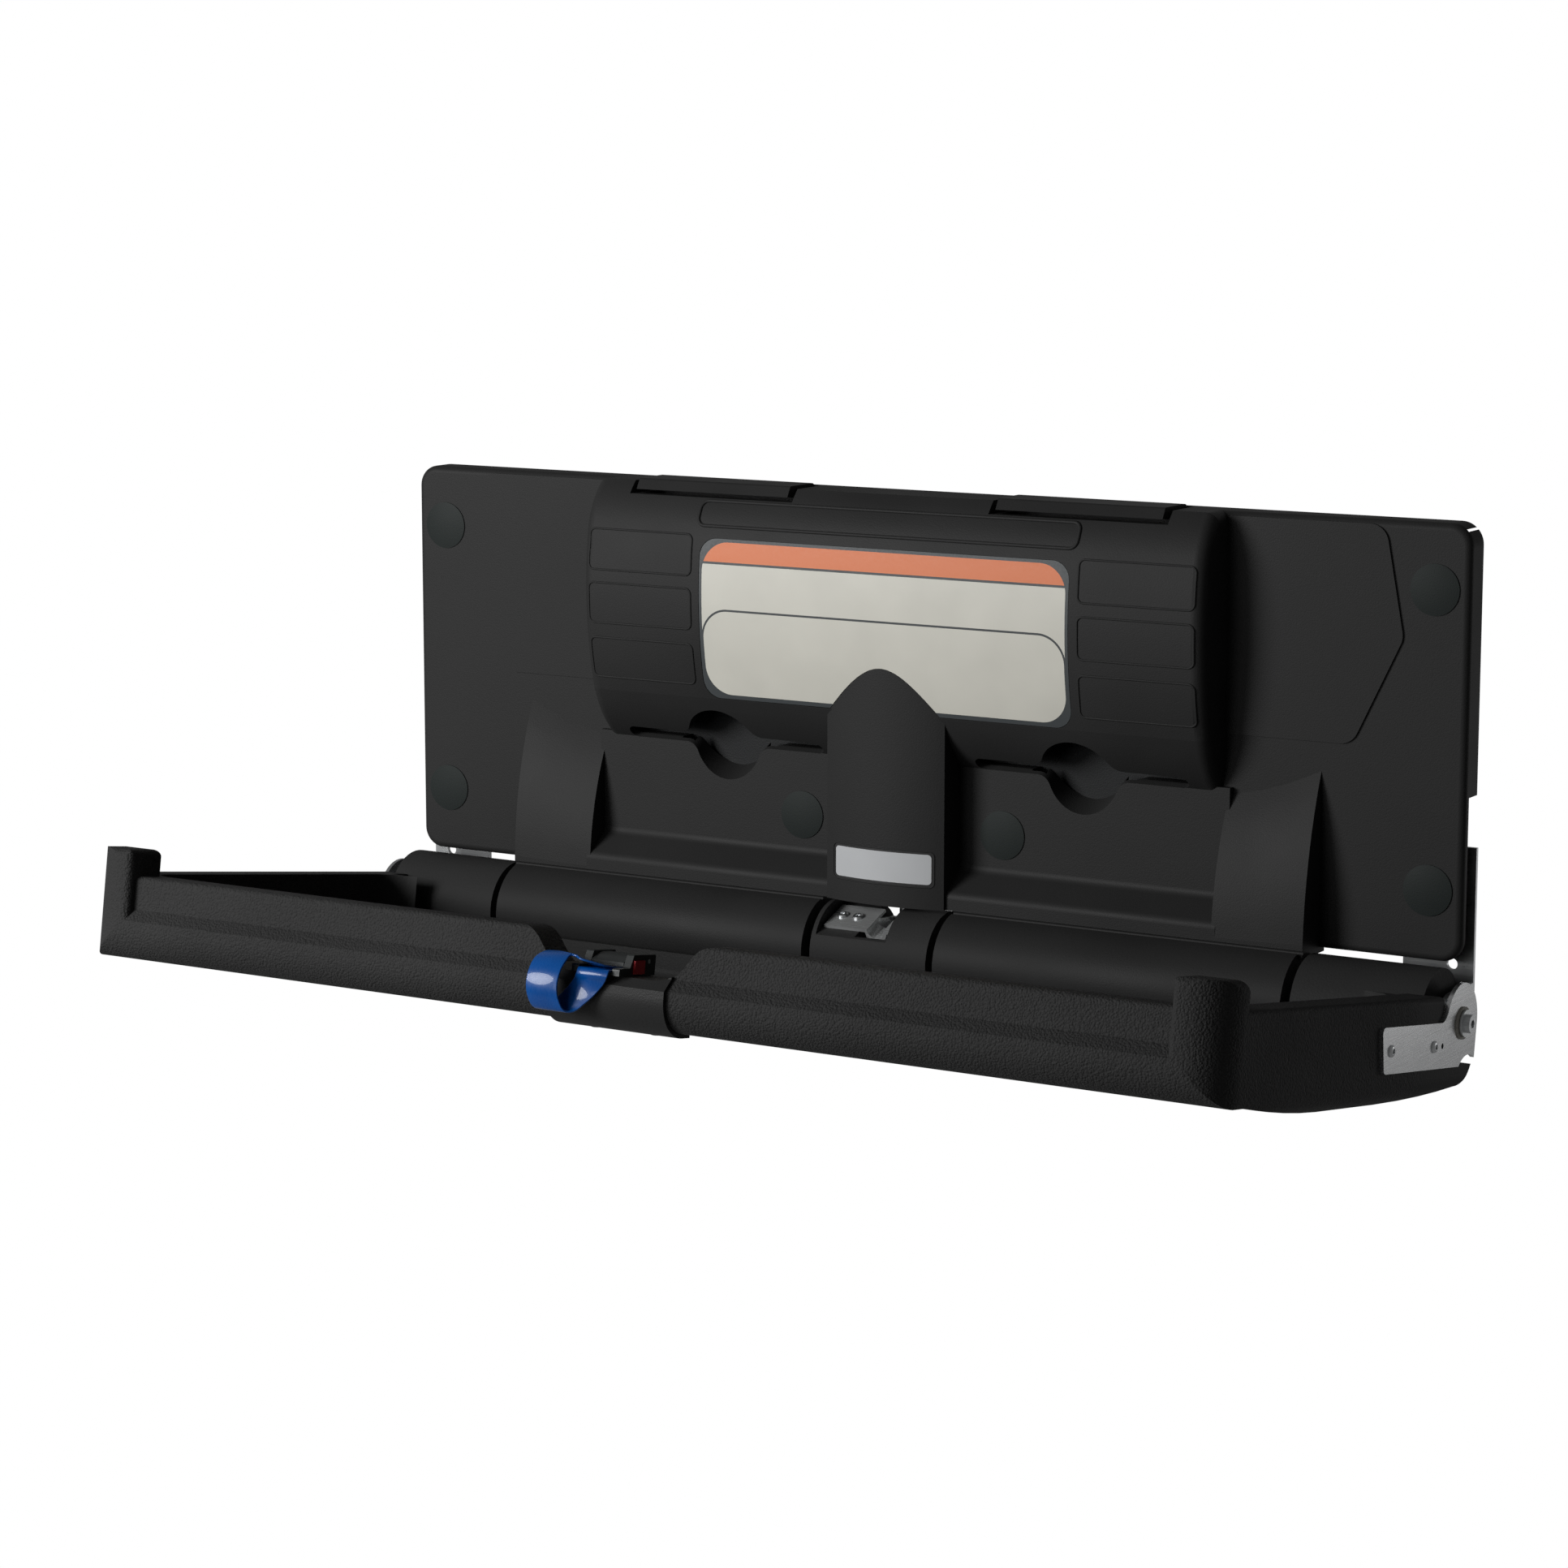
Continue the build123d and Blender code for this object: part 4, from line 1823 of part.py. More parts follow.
cam_along = BUCKLE_HALF_L - CAM_PIN_BACK
wall_in = BUCKLE_HALF_W - BUCKLE_WALL
button_high = BUTTON_LOW + BUTTON_H
slope_foot = BUCKLE_LOW_L - BUCKLE_HALF_L
with BuildPart() as buckle_frame:
    buckle_block(
        (-BUCKLE_HALF_L, -BUCKLE_HALF_W, 0), (BUCKLE_HALF_L, BUCKLE_HALF_W, BUCKLE_BASE_T)
    )
    for sx in (-1, 1):
        with BuildSketch(buckle_side(sx * BUCKLE_HALF_W)):
            with BuildLine():
                FilletPolyline(
                    (-BUCKLE_HALF_L, 0),
                    (-BUCKLE_HALF_L, BUCKLE_LOW_H),
                    (slope_foot, BUCKLE_LOW_H),
                    (slope_foot + BUCKLE_SLOPE_L, BUCKLE_H),
                    (BUCKLE_HALF_L, BUCKLE_H),
                    (BUCKLE_HALF_L, 0),
                    radius=BUCKLE_EDGE_R,
                    close=True,
                )
            make_face()
        extrude(amount=sx * BUCKLE_WALL)
    # Pocket of the release button in the right wall
    buckle_block(
        (BUTTON_AT - BUTTON_HALF_L - BUTTON_GAP, -BUCKLE_HALF_W - OVERRUN, BUTTON_LOW - BUTTON_GAP),
        (
            BUTTON_AT + BUTTON_HALF_L + BUTTON_GAP,
            -BUCKLE_HALF_W + BUTTON_DEPTH + BUTTON_TRAVEL + BUTTON_GAP,
            button_high + BUTTON_GAP,
        ),
        mode=Mode.SUBTRACT,
    )
    with Locations(buckle_side(0)):
        with Locations((cam_along, CAM_PIN_UP, 0)):
            Cylinder(CAM_PIN_R + RUN_FIT, 2 * BUCKLE_HALF_W + OVERRUN, mode=Mode.SUBTRACT)
save(buckle_frame, "buckle_frame")

with BuildPart() as cam_pin:
    with Locations(buckle_side(0)):
        with Locations((cam_along, CAM_PIN_UP, 0)):
            Cylinder(CAM_PIN_R, 2 * BUCKLE_HALF_W)
save(cam_pin, "cam_pin")

# The cam lever: a plate that curves down over the strap, with its cam round the pin
lever_half = wall_in - LEVER_GAP
lever_top = CAM_PIN_UP + CAM_R
lever_bend = cam_along - LEVER_FLAT
lever_nose = lever_bend - LEVER_NOSE
lever_tip = lever_top - LEVER_NOSE_DROP
bend_mid = (lever_bend + lever_nose) / 2
bend_drop = LEVER_NOSE_DROP / 3
with BuildPart() as cam_lever:
    with BuildSketch(buckle_side(lever_half)):
        with BuildLine():
            Line((cam_along, lever_top), (lever_bend, lever_top))
            ThreePointArc(
                (lever_bend, lever_top),
                (bend_mid, lever_top - bend_drop),
                (lever_nose, lever_tip),
            )
            Line((lever_nose, lever_tip), (lever_nose, lever_tip - LEVER_T))
            ThreePointArc(
                (lever_nose, lever_tip - LEVER_T),
                (bend_mid, lever_top - bend_drop - LEVER_T),
                (lever_bend, lever_top - LEVER_T),
            )
            Line((lever_bend, lever_top - LEVER_T), (cam_along, lever_top - LEVER_T))
            Line((cam_along, lever_top - LEVER_T), (cam_along, lever_top))
        make_face()
        with Locations((cam_along, CAM_PIN_UP)):
            Circle(CAM_R)
            Circle(CAM_PIN_R + RUN_FIT, mode=Mode.SUBTRACT)
    extrude(amount=2 * lever_half)
save(cam_lever, "cam_lever")

# The release button in the right wall, held by its own moulded tongue
with BuildPart() as release_button:
    buckle_block(
        (BUTTON_AT - BUTTON_HALF_L, -BUCKLE_HALF_W - BUTTON_PROUD, BUTTON_LOW),
        (BUTTON_AT + BUTTON_HALF_L, -BUCKLE_HALF_W + BUTTON_DEPTH, button_high),
    )
save(release_button, "release_button")

# The strap: it ends under the cam, hangs in front of the rail as a loop, runs back
# through the buckle, drops into the bed and lies on its floor up to the anchor
low_layer = DIP_UP + STRAP_LIFT + BUCKLE_BASE_T + BODY_GAP + STRAP_T / 2
high_layer = low_layer + STRAP_T + BODY_GAP
floor_layer = -BED_FLOOR_DOWN + BODY_GAP + STRAP_T / 2
strap_way = [(0, STRAP_END_ALONG, high_layer, 0)]
for x, along, up, turn in LOOP_SHARES:
    strap_way.append((x * STRAP_W, BELLY_FRONT + along * STRAP_W, up * STRAP_W, turn))
for end in (1, -1):
    strap_way.append((0, BUCKLE_ALONG + end * (BUCKLE_HALF_L + STRAP_T), low_layer, 0))
for back, up in DROP_SHARES:
    strap_way.append((0, RAIL_IN - back * STRAP_W, up * STRAP_W, 0))
strap_way.append((0, RAIL_IN - BED_CORNER_R - STRAP_W / 2, floor_layer, 0))
strap_way.append((0, ANCHOR_ALONG - ANCHOR_L / 2, floor_layer, 0))
strap_points = [Vector(tray_point(BUCKLE_X + x, along, up)) for x, along, up, turn in strap_way]


def strap_plane(index):
    """The plane of the strap's section at one of its places."""
    here = strap_points[index]
    way = Vector()
    if index > 0:
        way += (here - strap_points[index - 1]).normalized()
    if index + 1 < len(strap_points):
        way += (strap_points[index + 1] - here).normalized()
    turn = radians(strap_way[index][3])
    wide = Vector(cos(turn), sin(turn) * BED_ALONG[1], sin(turn) * BED_ALONG[2])
    return Plane(origin=here, x_dir=wide, z_dir=way)


with BuildPart() as strap:
    for index in range(len(strap_way) - 1):
        for plane in (strap_plane(index), strap_plane(index + 1)):
            with BuildSketch(plane):
                Rectangle(STRAP_W, STRAP_T)
        loft(ruled=True)
save(strap, "strap")

# The steel anchor plate that clamps the strap's end to the bed's floor
anchor_foot = floor_layer + STRAP_T / 2 + BODY_GAP
with BuildPart() as strap_anchor:
    tray_block(
        (BUCKLE_X - ANCHOR_W / 2, ANCHOR_ALONG - ANCHOR_L / 2, anchor_foot),
        (BUCKLE_X + ANCHOR_W / 2, ANCHOR_ALONG + ANCHOR_L / 2, anchor_foot + ANCHOR_T),
    )
    for place in anchor_screws:
        tray_bar_up(
            place, ANCHOR_ALONG, -BED_FLOOR_DOWN, SCREW_HEAD_R, anchor_foot + BED_FLOOR_DOWN
        )
        tray_bar_up(
            place,
            ANCHOR_ALONG,
            -BED_FLOOR_DOWN - OVERRUN,
            SCREW_SHANK_R + SCREW_GAP,
            ANCHOR_T + anchor_foot + BED_FLOOR_DOWN + 2 * OVERRUN,
            mode=Mode.SUBTRACT,
        )
save(strap_anchor, "strap_anchor")

with BuildPart() as anchor_screw_set:
    for place in anchor_screws:
        head_foot = anchor_foot + ANCHOR_T
        shank_foot = SCREW_GAP - BED_FLOOR_DOWN - ANCHOR_SHANK_LEN
        tray_bar_up(place, ANCHOR_ALONG, head_foot, SCREW_HEAD_R, SCREW_HEAD_H)
        tray_bar_up(place, ANCHOR_ALONG, shank_foot, SCREW_SHANK_R, head_foot - shank_foot)
save(anchor_screw_set, "anchor_screws")
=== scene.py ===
# %% [markdown]
# A baby changing station folded down from a wall: one moulded back and one moulded tray
# in charcoal plastic, with steel at the hinge and a blue safety strap at the front.
# The packed model gives every hard part in its place, so this notebook only dresses it.
# %% Load the frame
import json
from math import cos, pi, radians, sin

import bmesh
import bpy
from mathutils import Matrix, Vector
from mathutils.bvhtree import BVHTree


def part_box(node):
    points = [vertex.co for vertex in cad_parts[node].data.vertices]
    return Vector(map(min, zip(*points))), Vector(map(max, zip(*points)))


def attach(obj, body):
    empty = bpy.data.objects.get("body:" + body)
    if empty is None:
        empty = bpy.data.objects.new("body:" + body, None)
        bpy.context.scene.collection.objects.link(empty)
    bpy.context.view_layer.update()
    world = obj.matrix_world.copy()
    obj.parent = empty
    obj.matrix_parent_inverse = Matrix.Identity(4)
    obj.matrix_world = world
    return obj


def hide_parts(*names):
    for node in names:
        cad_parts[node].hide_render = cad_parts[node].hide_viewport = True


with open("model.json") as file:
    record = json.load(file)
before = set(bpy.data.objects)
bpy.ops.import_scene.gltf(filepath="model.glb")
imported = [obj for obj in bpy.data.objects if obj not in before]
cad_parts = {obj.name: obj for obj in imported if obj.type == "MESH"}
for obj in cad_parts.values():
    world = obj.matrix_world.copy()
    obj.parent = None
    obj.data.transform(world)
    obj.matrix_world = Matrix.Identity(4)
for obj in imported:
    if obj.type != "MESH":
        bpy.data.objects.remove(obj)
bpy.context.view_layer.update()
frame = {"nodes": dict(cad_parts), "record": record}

# %% [markdown]
# The camera stands right of the station and a little above it, far enough back that the
# long lines of the tray stay nearly parallel. Its place was found by matching the corners
# of the panel, the caps and the tray, which works for any object with known corners. The
# shift moves the picture up a little, because the photograph was cropped off its middle.
# %% Place the camera
CAMERA_PLACE = (1.4925, -2.6682, 0.4422)
CAMERA_YAW = radians(31.13)
CAMERA_PITCH = radians(9.16)
CAMERA_LENS = 94.48
CAMERA_SENSOR = 36.0
PHOTO_SIDE = 1932
PHOTO_OFF_MIDDLE = -31


def into_scene(thing):
    """Puts a new object into the scene and hands it back."""
    bpy.context.scene.collection.objects.link(thing)
    return thing


camera_data = bpy.data.cameras.new("camera")
camera_data.sensor_width = CAMERA_SENSOR
camera_data.lens = CAMERA_LENS
camera_data.shift_y = PHOTO_OFF_MIDDLE / PHOTO_SIDE
camera = into_scene(bpy.data.objects.new("camera", camera_data))
camera.location = CAMERA_PLACE
looks_along = Vector((-sin(CAMERA_YAW) * cos(CAMERA_PITCH),
                      cos(CAMERA_YAW) * cos(CAMERA_PITCH), -sin(CAMERA_PITCH)))
camera.rotation_euler = looks_along.to_track_quat("-Z", "Y").to_euler()
bpy.context.scene.camera = camera
bpy.context.scene.view_settings.view_transform = "Standard"
print("camera looks along", [round(v, 3) for v in looks_along])

# %% [markdown]
# Long node graphs are easier to read as formulas. A small class holds one output of a
# node tree and turns plus, minus and the rest into maths nodes, so a pattern such as a
# band or a ring is written in one line. One function adds every other kind of node.
# %% Values in a node tree


class Term:
    """One value inside a node tree. Arithmetic on it adds maths nodes."""

    def __init__(self, tree, socket):
        self.tree, self.socket = tree, socket

    def apply(self, operation, *terms):
        return add_node(self.tree, "ShaderNodeMath", {"operation": operation},
                        places=dict(enumerate(terms)))

    def __add__(self, other):
        return self.apply("ADD", self, other)

    def __radd__(self, other):
        return self.apply("ADD", other, self)

    def __sub__(self, other):
        return self.apply("SUBTRACT", self, other)

    def __rsub__(self, other):
        return self.apply("SUBTRACT", other, self)

    def __mul__(self, other):
        return self.apply("MULTIPLY", self, other)

    def __rmul__(self, other):
        return self.apply("MULTIPLY", other, self)

    def __abs__(self):
        return self.apply("ABSOLUTE", self)

    def __pow__(self, other):
        return self.apply("POWER", self, other)

    def __gt__(self, other):
        return self.apply("GREATER_THAN", self, other)

    def __lt__(self, other):
        return self.apply("LESS_THAN", self, other)

    def larger(self, other):
        return self.apply("MAXIMUM", self, other)


def connect(tree, place, value):
    """Links a term to a socket, or sets the socket to a plain value."""
    if isinstance(value, Term):
        tree.links.new(value.socket, place)
    else:
        place.default_value = value


def add_node(tree, kind, settings=None, out=0, places=None, **values):
    """Adds a node: its settings first, then its sockets, by place or by name."""
    node = tree.nodes.new(kind)
    for name, setting in (settings or {}).items():
        setattr(node, name, setting)
    sockets = {name.replace("_", " "): value for name, value in values.items()}
    for place, value in {**(places or {}), **sockets}.items():
        connect(tree, node.inputs[place], value)
    return Term(tree, node.outputs[out])


print("a term knows", len([name for name in vars(Term) if name.startswith("__")]), "signs")

# %% [markdown]
# A finish is one Principled surface and the patterns that feed it. All patterns read the
# object's own coordinates, so they stay on the part when it moves. Noise seldom reaches
# its ends, so a pattern's middle range is spread over the whole step between two values.
# %% A finish and its colours


class Finish:
    """A procedural material: one Principled surface and the patterns that feed it."""

    def __init__(self, name, **values):
        self.material = bpy.data.materials.new(name)
        self.material.use_nodes = True
        self.tree = self.material.node_tree
        self.tree.nodes.clear()
        output = self.tree.nodes.new("ShaderNodeOutputMaterial")
        self.surface = self.tree.nodes.new("ShaderNodeBsdfPrincipled")
        self.tree.links.new(self.surface.outputs["BSDF"], output.inputs["Surface"])
        self.place = self.add("ShaderNodeTexCoord", out="Object")
        self.set(**values)

    def add(self, kind, settings=None, out=0, places=None, **values):
        return add_node(self.tree, kind, settings, out, places, **values)

    def set(self, **values):
        for name, value in values.items():
            connect(self.tree, self.surface.inputs[name.replace("_", " ")], value)

    def noise(self, scale, detail=2.0, stretch=(1.0, 1.0, 1.0)):
        spot = self.add("ShaderNodeMapping", Vector=self.place, Scale=stretch)
        return self.add("ShaderNodeTexNoise", out="Fac", Vector=spot, Scale=scale,
                        Detail=detail)

    def cells(self, scale, smooth):
        return self.add("ShaderNodeTexVoronoi", {"feature": "SMOOTH_F1"}, "Distance",
                        Vector=self.place, Scale=scale, Smoothness=smooth)

    def span(self, value, low, high, out_low=0.0, out_high=1.0):
        return self.add("ShaderNodeMapRange", out="Result", Value=value, From_Min=low,
                        From_Max=high, To_Min=out_low, To_Max=out_high)

    def spread(self, noise, out_low=0.0, out_high=1.0):
        return self.span(noise, 0.3, 0.7, out_low, out_high)

    def blend(self, share, first, second):
        return self.add("ShaderNodeMix", {"data_type": "RGBA"}, 2,
                        {"Factor": share, 6: first, 7: second})

    def bump(self, height, depth):
        return self.add("ShaderNodeBump", Height=height, Distance=depth, Strength=1.0)

    def along(self, axis):
        return self.add("ShaderNodeSeparateXYZ", out=axis, Vector=self.place)


def srgb(red, green, blue):
    """A colour given as screen values from 0 to 255, as the linear colour nodes use."""
    shares = [v / 255 for v in (red, green, blue)]
    return tuple(s / 12.92 if s <= 0.04045 else ((s + 0.055) / 1.055) ** 2.4
                 for s in shares) + (1.0,)


def shade(colour, share):
    """A colour with that share of its light."""
    return tuple(v * share for v in colour[:3]) + (1.0,)


print("the panel's charcoal is", [round(v, 4) for v in srgb(47, 47, 47)])

# %% [markdown]
# The moulded parts are charcoal polyethylene. The mould is etched, so the skin has a fine
# leathery pebble on the rails and a much fainter one on the panel. Cells and noise drive
# a bump for it, and a slower noise moves the gloss a little, as handling does. The grooves
# between the pebbles are also painted darker, as painted shade. The tray's
# pebble fades to a trace towards the hinge, where the knuckles are nearly smooth.
# %% Moulded plastics
CLOUD_SCALE = 9.0
PEBBLE_SMOOTH = 0.15
FINE_PER_GRAIN = 1.9
FINE_SHARE = 0.7
PIT_EDGE = 0.6
PIT_SHADE_SHARE = 0.35
MORE_GLOSS, LESS_GLOSS = 0.05, 0.06
FADE_LENGTH = 0.03
PEBBLE_LEFT = 0.15


def moulded(name, colour, gloss, grain_size, grain_depth,
            drift=0.12, shine=0.14, smooth_behind=None):
    """A moulded plastic. Behind a given depth of the object its pebble is a trace."""
    finish = Finish(name, Specular_IOR_Level=shine)
    pebble = finish.cells(1.0 / grain_size, PEBBLE_SMOOTH)
    fine = finish.noise(FINE_PER_GRAIN / grain_size)
    cloud = finish.noise(CLOUD_SCALE, 3.0)
    darker = shade(colour, 1 - drift)
    skin = finish.blend(finish.spread(cloud), darker, shade(colour, 1 + drift))
    # painted shade: the grooves between the pebbles, low in the bump, are blended towards
    # the darker tone
    pit_shade = finish.span(pebble, 0.0, PIT_EDGE, 0.0, PIT_SHADE_SHARE)
    height = fine * FINE_SHARE - pebble
    if smooth_behind is not None:
        height = height * finish.span(finish.along("Y"), smooth_behind,
                                      smooth_behind - FADE_LENGTH, PEBBLE_LEFT, 1.0)
    finish.set(Base_Color=finish.blend(pit_shade, skin, darker),
               Roughness=finish.span(cloud, 0.25, 0.75, gloss - MORE_GLOSS,
                                     gloss + LESS_GLOSS),
               Normal=finish.bump(height, grain_depth))
    return finish.material


shell = moulded("panel_skin", srgb(47, 47, 47), 0.54, 0.0011, 0.00006)
rail = moulded("rail_skin", srgb(56, 56, 56), 0.54, 0.0017, 0.0007,
               shine=0.07, smooth_behind=-0.1)
lid = moulded("lid_skin", srgb(44, 44, 44), 0.46, 0.0010, 0.00006)
saddle = moulded("saddle_skin", srgb(45, 45, 45), 0.48, 0.0012, 0.00008)
cover = moulded("rear_cover_skin", srgb(40, 41, 42), 0.52, 0.0012, 0.00008)
cap = moulded("cap_skin", srgb(40, 45, 44), 0.56, 0.0010, 0.00004)
nylon = moulded("nylon", srgb(196, 193, 182), 0.4, 0.0012, 0.00004, 0.06)
buckle = moulded("buckle_satin", srgb(48, 51, 51), 0.34, 0.0008, 0.00002, shine=0.3)
button = moulded("button_red", srgb(232, 62, 70), 0.3, 0.0009, 0.00002, 0.08, shine=0.4)
black_paint = moulded("spring_paint", srgb(28, 28, 30), 0.3, 0.0014, 0.00003)
print("plastics:", [m.name for m in (shell, rail, lid, saddle, cover, cap, nylon, buckle,
                                     button, black_paint)])

# %% [markdown]
# Sheet steel is rolled, so its fine lines run one way: noise stretched thirty to fifty
# times along one axis gives them. The zinc plating adds faint pale and dark clouds. The gas
# spring's rod is ground and chromed, so it is nearly a mirror with the faintest of lines.
# %% Steels
LINE_SCALE = 900.0
ZINC_CLOUD_SCALE = 46.0
LINE_LIGHT = 0.72


def rolled_steel(name, colour, gloss, stretch, line_depth, cloud_share, metal=1.0):
    """Steel with fine lines along the axis whose stretch is small, and some clouds."""
    finish = Finish(name, Metallic=metal)
    lines = finish.noise(LINE_SCALE, 2.0, stretch)
    clouds = finish.spread(finish.noise(ZINC_CLOUD_SCALE, 4.0)) * cloud_share
    tone = finish.spread(lines) * (1 - cloud_share) + clouds
    finish.set(Base_Color=finish.blend(tone, shade(colour, LINE_LIGHT), colour),
               Roughness=finish.span(tone, 0.0, 1.0, gloss + 0.08, gloss - 0.04),
               Normal=finish.bump(lines, line_depth))
    return finish.material


plated = rolled_steel("plated_steel", srgb(205, 207, 208), 0.3, (0.02, 1.0, 1.0),
                      0.00003, 0.55)
polished = rolled_steel("polished_steel", srgb(222, 223, 224), 0.24, (1.0, 0.03, 1.0),
                        0.00002, 0.3)
bright_zinc = rolled_steel("bright_zinc", srgb(214, 216, 216), 0.26, (0.03, 1.0, 1.0),
                           0.00002, 0.35, metal=0.55)
chrome = rolled_steel("rod_chrome", srgb(226, 228, 230), 0.08, (1.0, 1.0, 0.05),
                      0.000004, 0.1)
print("steels:", [m.name for m in (plated, polished, bright_zinc, chrome)])

# %% [markdown]
# The label is a thin printed sheet behind a clear skin: warm off-white in a grey border,
# with an orange band across its head and a second outline round its lower part. It is bare
# here, so the layout comes from a rounded-box distance, which any node tree can work out
# from two coordinates. The name plate is a plain pale field in a dark moulded frame.
# %% Label and name plate
BAND_SHARE = 0.13
LOWER_FIELD_FROM = 0.42
BAND_LINE_HALF = 0.0009
FIELD_LINE_HALF = 0.0008
PAPER_SCALE = 700.0
PAPER_ROUGHNESS = (0.44, 0.52)
PAPER_DEPTH = 0.00001
STAIN_SCALE = 22.0
STAIN_LIGHT = 0.93


def past_rounded_box(across, upright, half_width, half_height, corner):
    """How far outside a rounded box a spot lies, from its distances to the middle."""
    past_side = (across - (half_width - corner)).larger(0.0)
    past_top = (upright - (half_height - corner)).larger(0.0)
    return (past_side * past_side + past_top * past_top) ** 0.5 - corner


def plate_finish(name, node, border, corner, rim_colour, field_colour, band_colour=None):
    """A printed plate: a rim, a field with round corners and perhaps a coloured head."""
    low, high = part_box(node)
    finish = Finish(name, Specular_IOR_Level=0.3)
    height = finish.along("Z")
    across = abs(finish.along("X") - (low.x + high.x) / 2)
    upright = abs(height - (low.z + high.z) / 2)
    half_width = (high.x - low.x) / 2 - border
    edge = past_rounded_box(across, upright, half_width,
                            (high.z - low.z) / 2 - border, corner)
    stains = finish.spread(finish.noise(STAIN_SCALE))
    paper = finish.noise(PAPER_SCALE, 3.0)
    field = finish.blend(stains, shade(field_colour, STAIN_LIGHT), field_colour)
    if band_colour:
        band_foot = high.z - border - (high.z - low.z) * BAND_SHARE
        field = finish.blend(height > band_foot, field, band_colour)
        line = abs(height - band_foot) < BAND_LINE_HALF
        field = finish.blend(line, field, rim_colour)
        lower_top = high.z - (high.z - low.z) * LOWER_FIELD_FROM
        lower_edge = past_rounded_box(across, abs(height - (lower_top + low.z) / 2),
                                      half_width, (lower_top - low.z) / 2 - border, corner)
        field = finish.blend(abs(lower_edge) < FIELD_LINE_HALF, field, rim_colour)
    finish.set(Base_Color=finish.blend(edge > 0.0, field, rim_colour),
               Roughness=finish.spread(paper, *PAPER_ROUGHNESS),
               Normal=finish.bump(paper, PAPER_DEPTH))
    return finish.material


label = plate_finish("label_print", "label_plate", 0.0024, 0.022, srgb(74, 78, 80),
                     srgb(229, 227, 216), srgb(237, 136, 90))
name_print = plate_finish("name_print", "name_plate", 0.0022, 0.003, srgb(46, 46, 46),
                          srgb(206, 208, 210))

# %% [markdown]
# The strap is vinyl-coated webbing: a woven core under a smooth, glossy blue skin. The
# weave hardly prints through, so the bump is shallow, and a clear coat carries the shine.
# %% Strap vinyl
WEAVE_SCALE = 900.0
WEAVE_STRETCH = (1.0, 1.0, 0.35)
WEAVE_DEPTH = 0.00001
WEAR_SCALE = 40.0
vinyl = Finish("strap_vinyl", Coat_Weight=0.35, Coat_Roughness=0.06, Specular_IOR_Level=0.2)
weave = vinyl.noise(WEAVE_SCALE, 2.0, WEAVE_STRETCH)
wear = vinyl.spread(vinyl.noise(WEAR_SCALE))
vinyl.set(Base_Color=vinyl.blend(wear, srgb(0, 70, 142), srgb(4, 82, 160)),
          Roughness=vinyl.spread(weave, 0.24, 0.34),
          Normal=vinyl.bump(weave, WEAVE_DEPTH))
print("strap finish:", vinyl.material.name)

# %% [markdown]
# Every part of the frame carries the name of its material in the record. The finishes are
# handed out by that name. Three parts get their own: the tray has the coarser moulded skin,
# the crank bracket a brighter zinc, and the name plate its own print.
# %% Hand out the finishes
FINISH_OF_SLOT = {
    "shell_plastic": shell, "lid_plastic": lid, "saddle_plastic": saddle,
    "cover_plastic": cover, "cap_plastic": cap, "label_plastic": label,
    "plated_steel": plated, "polished_steel": polished, "rod_chrome": chrome,
    "spring_paint": black_paint, "nylon": nylon, "strap_vinyl": vinyl.material,
    "buckle_plastic": buckle, "button_red": button,
}
OWN_FINISH = {"tray_shell": rail, "crank_bracket": bright_zinc, "name_plate": name_print}
slot_of_node = {part["node"]: part["material_slot"] for part in frame["record"]["subparts"]}
for node_name, node in frame["nodes"].items():
    finish = OWN_FINISH.get(node_name, FINISH_OF_SLOT[slot_of_node[node_name]])
    node.data.materials.clear()
    node.data.materials.append(finish)
print("dressed", len(frame["nodes"]), "parts")

# %% [markdown]
# A pale floor and a white surround stand in for the photographer's sweep. The camera and
# clear parts see them as pure white, and rays that bounce off a glossy skin see a weaker
# white, so that charcoal stays dark. Hardly any light from them falls on the object.
# %% Floor and surround
FLOOR_Z = -0.9
FLOOR_HALF = 8
FLOOR_GREY = (0.3, 0.3, 0.3, 1.0)
AMBIENT_GREY = (0.025, 0.025, 0.025, 1.0)
WHITE = (1.0, 1.0, 1.0, 1.0)
WHITE_IN_GLOSS = 0.16


def white_share(tree):
    """How white the surround is to a ray: all to the camera, a little to a reflection."""
    camera_ray, glossy_ray, clear_ray = [
        add_node(tree, "ShaderNodeLightPath", out=name)
        for name in ("Is Camera Ray", "Is Glossy Ray", "Is Transmission Ray")]
    return camera_ray.larger(glossy_ray * WHITE_IN_GLOSS).larger(clear_ray)


floor_mesh = bpy.data.meshes.new("floor")
floor_mesh.from_pydata([(x * FLOOR_HALF, y * FLOOR_HALF, FLOOR_Z)
                        for x, y in ((-1, -1), (1, -1), (1, 1), (-1, 1))],
                       [], [(0, 1, 2, 3)])
floor = into_scene(bpy.data.objects.new("floor", floor_mesh))
floor_look = bpy.data.materials.new("floor_paper")
floor_look.use_nodes = True
paper_tree = floor_look.node_tree
paper_tree.nodes.clear()
paper = add_node(paper_tree, "ShaderNodeBsdfDiffuse", Color=FLOOR_GREY)
white = add_node(paper_tree, "ShaderNodeEmission", Color=WHITE)
mixed = add_node(paper_tree, "ShaderNodeMixShader",
                 places={0: white_share(paper_tree), 1: paper, 2: white})
paper_out = paper_tree.nodes.new("ShaderNodeOutputMaterial")
connect(paper_tree, paper_out.inputs["Surface"], mixed)
floor_mesh.materials.append(floor_look)

world = bpy.data.worlds.new("surround")
bpy.context.scene.world = world
world.use_nodes = True
sky = world.node_tree
sky.nodes.clear()
tone = add_node(sky, "ShaderNodeMix", {"data_type": "RGBA"}, 2,
                {"Factor": white_share(sky), 6: AMBIENT_GREY, 7: WHITE})
glow = add_node(sky, "ShaderNodeBackground", Color=tone)
connect(sky, sky.nodes.new("ShaderNodeOutputWorld").inputs["Surface"], glow)
print("floor at", FLOOR_Z)

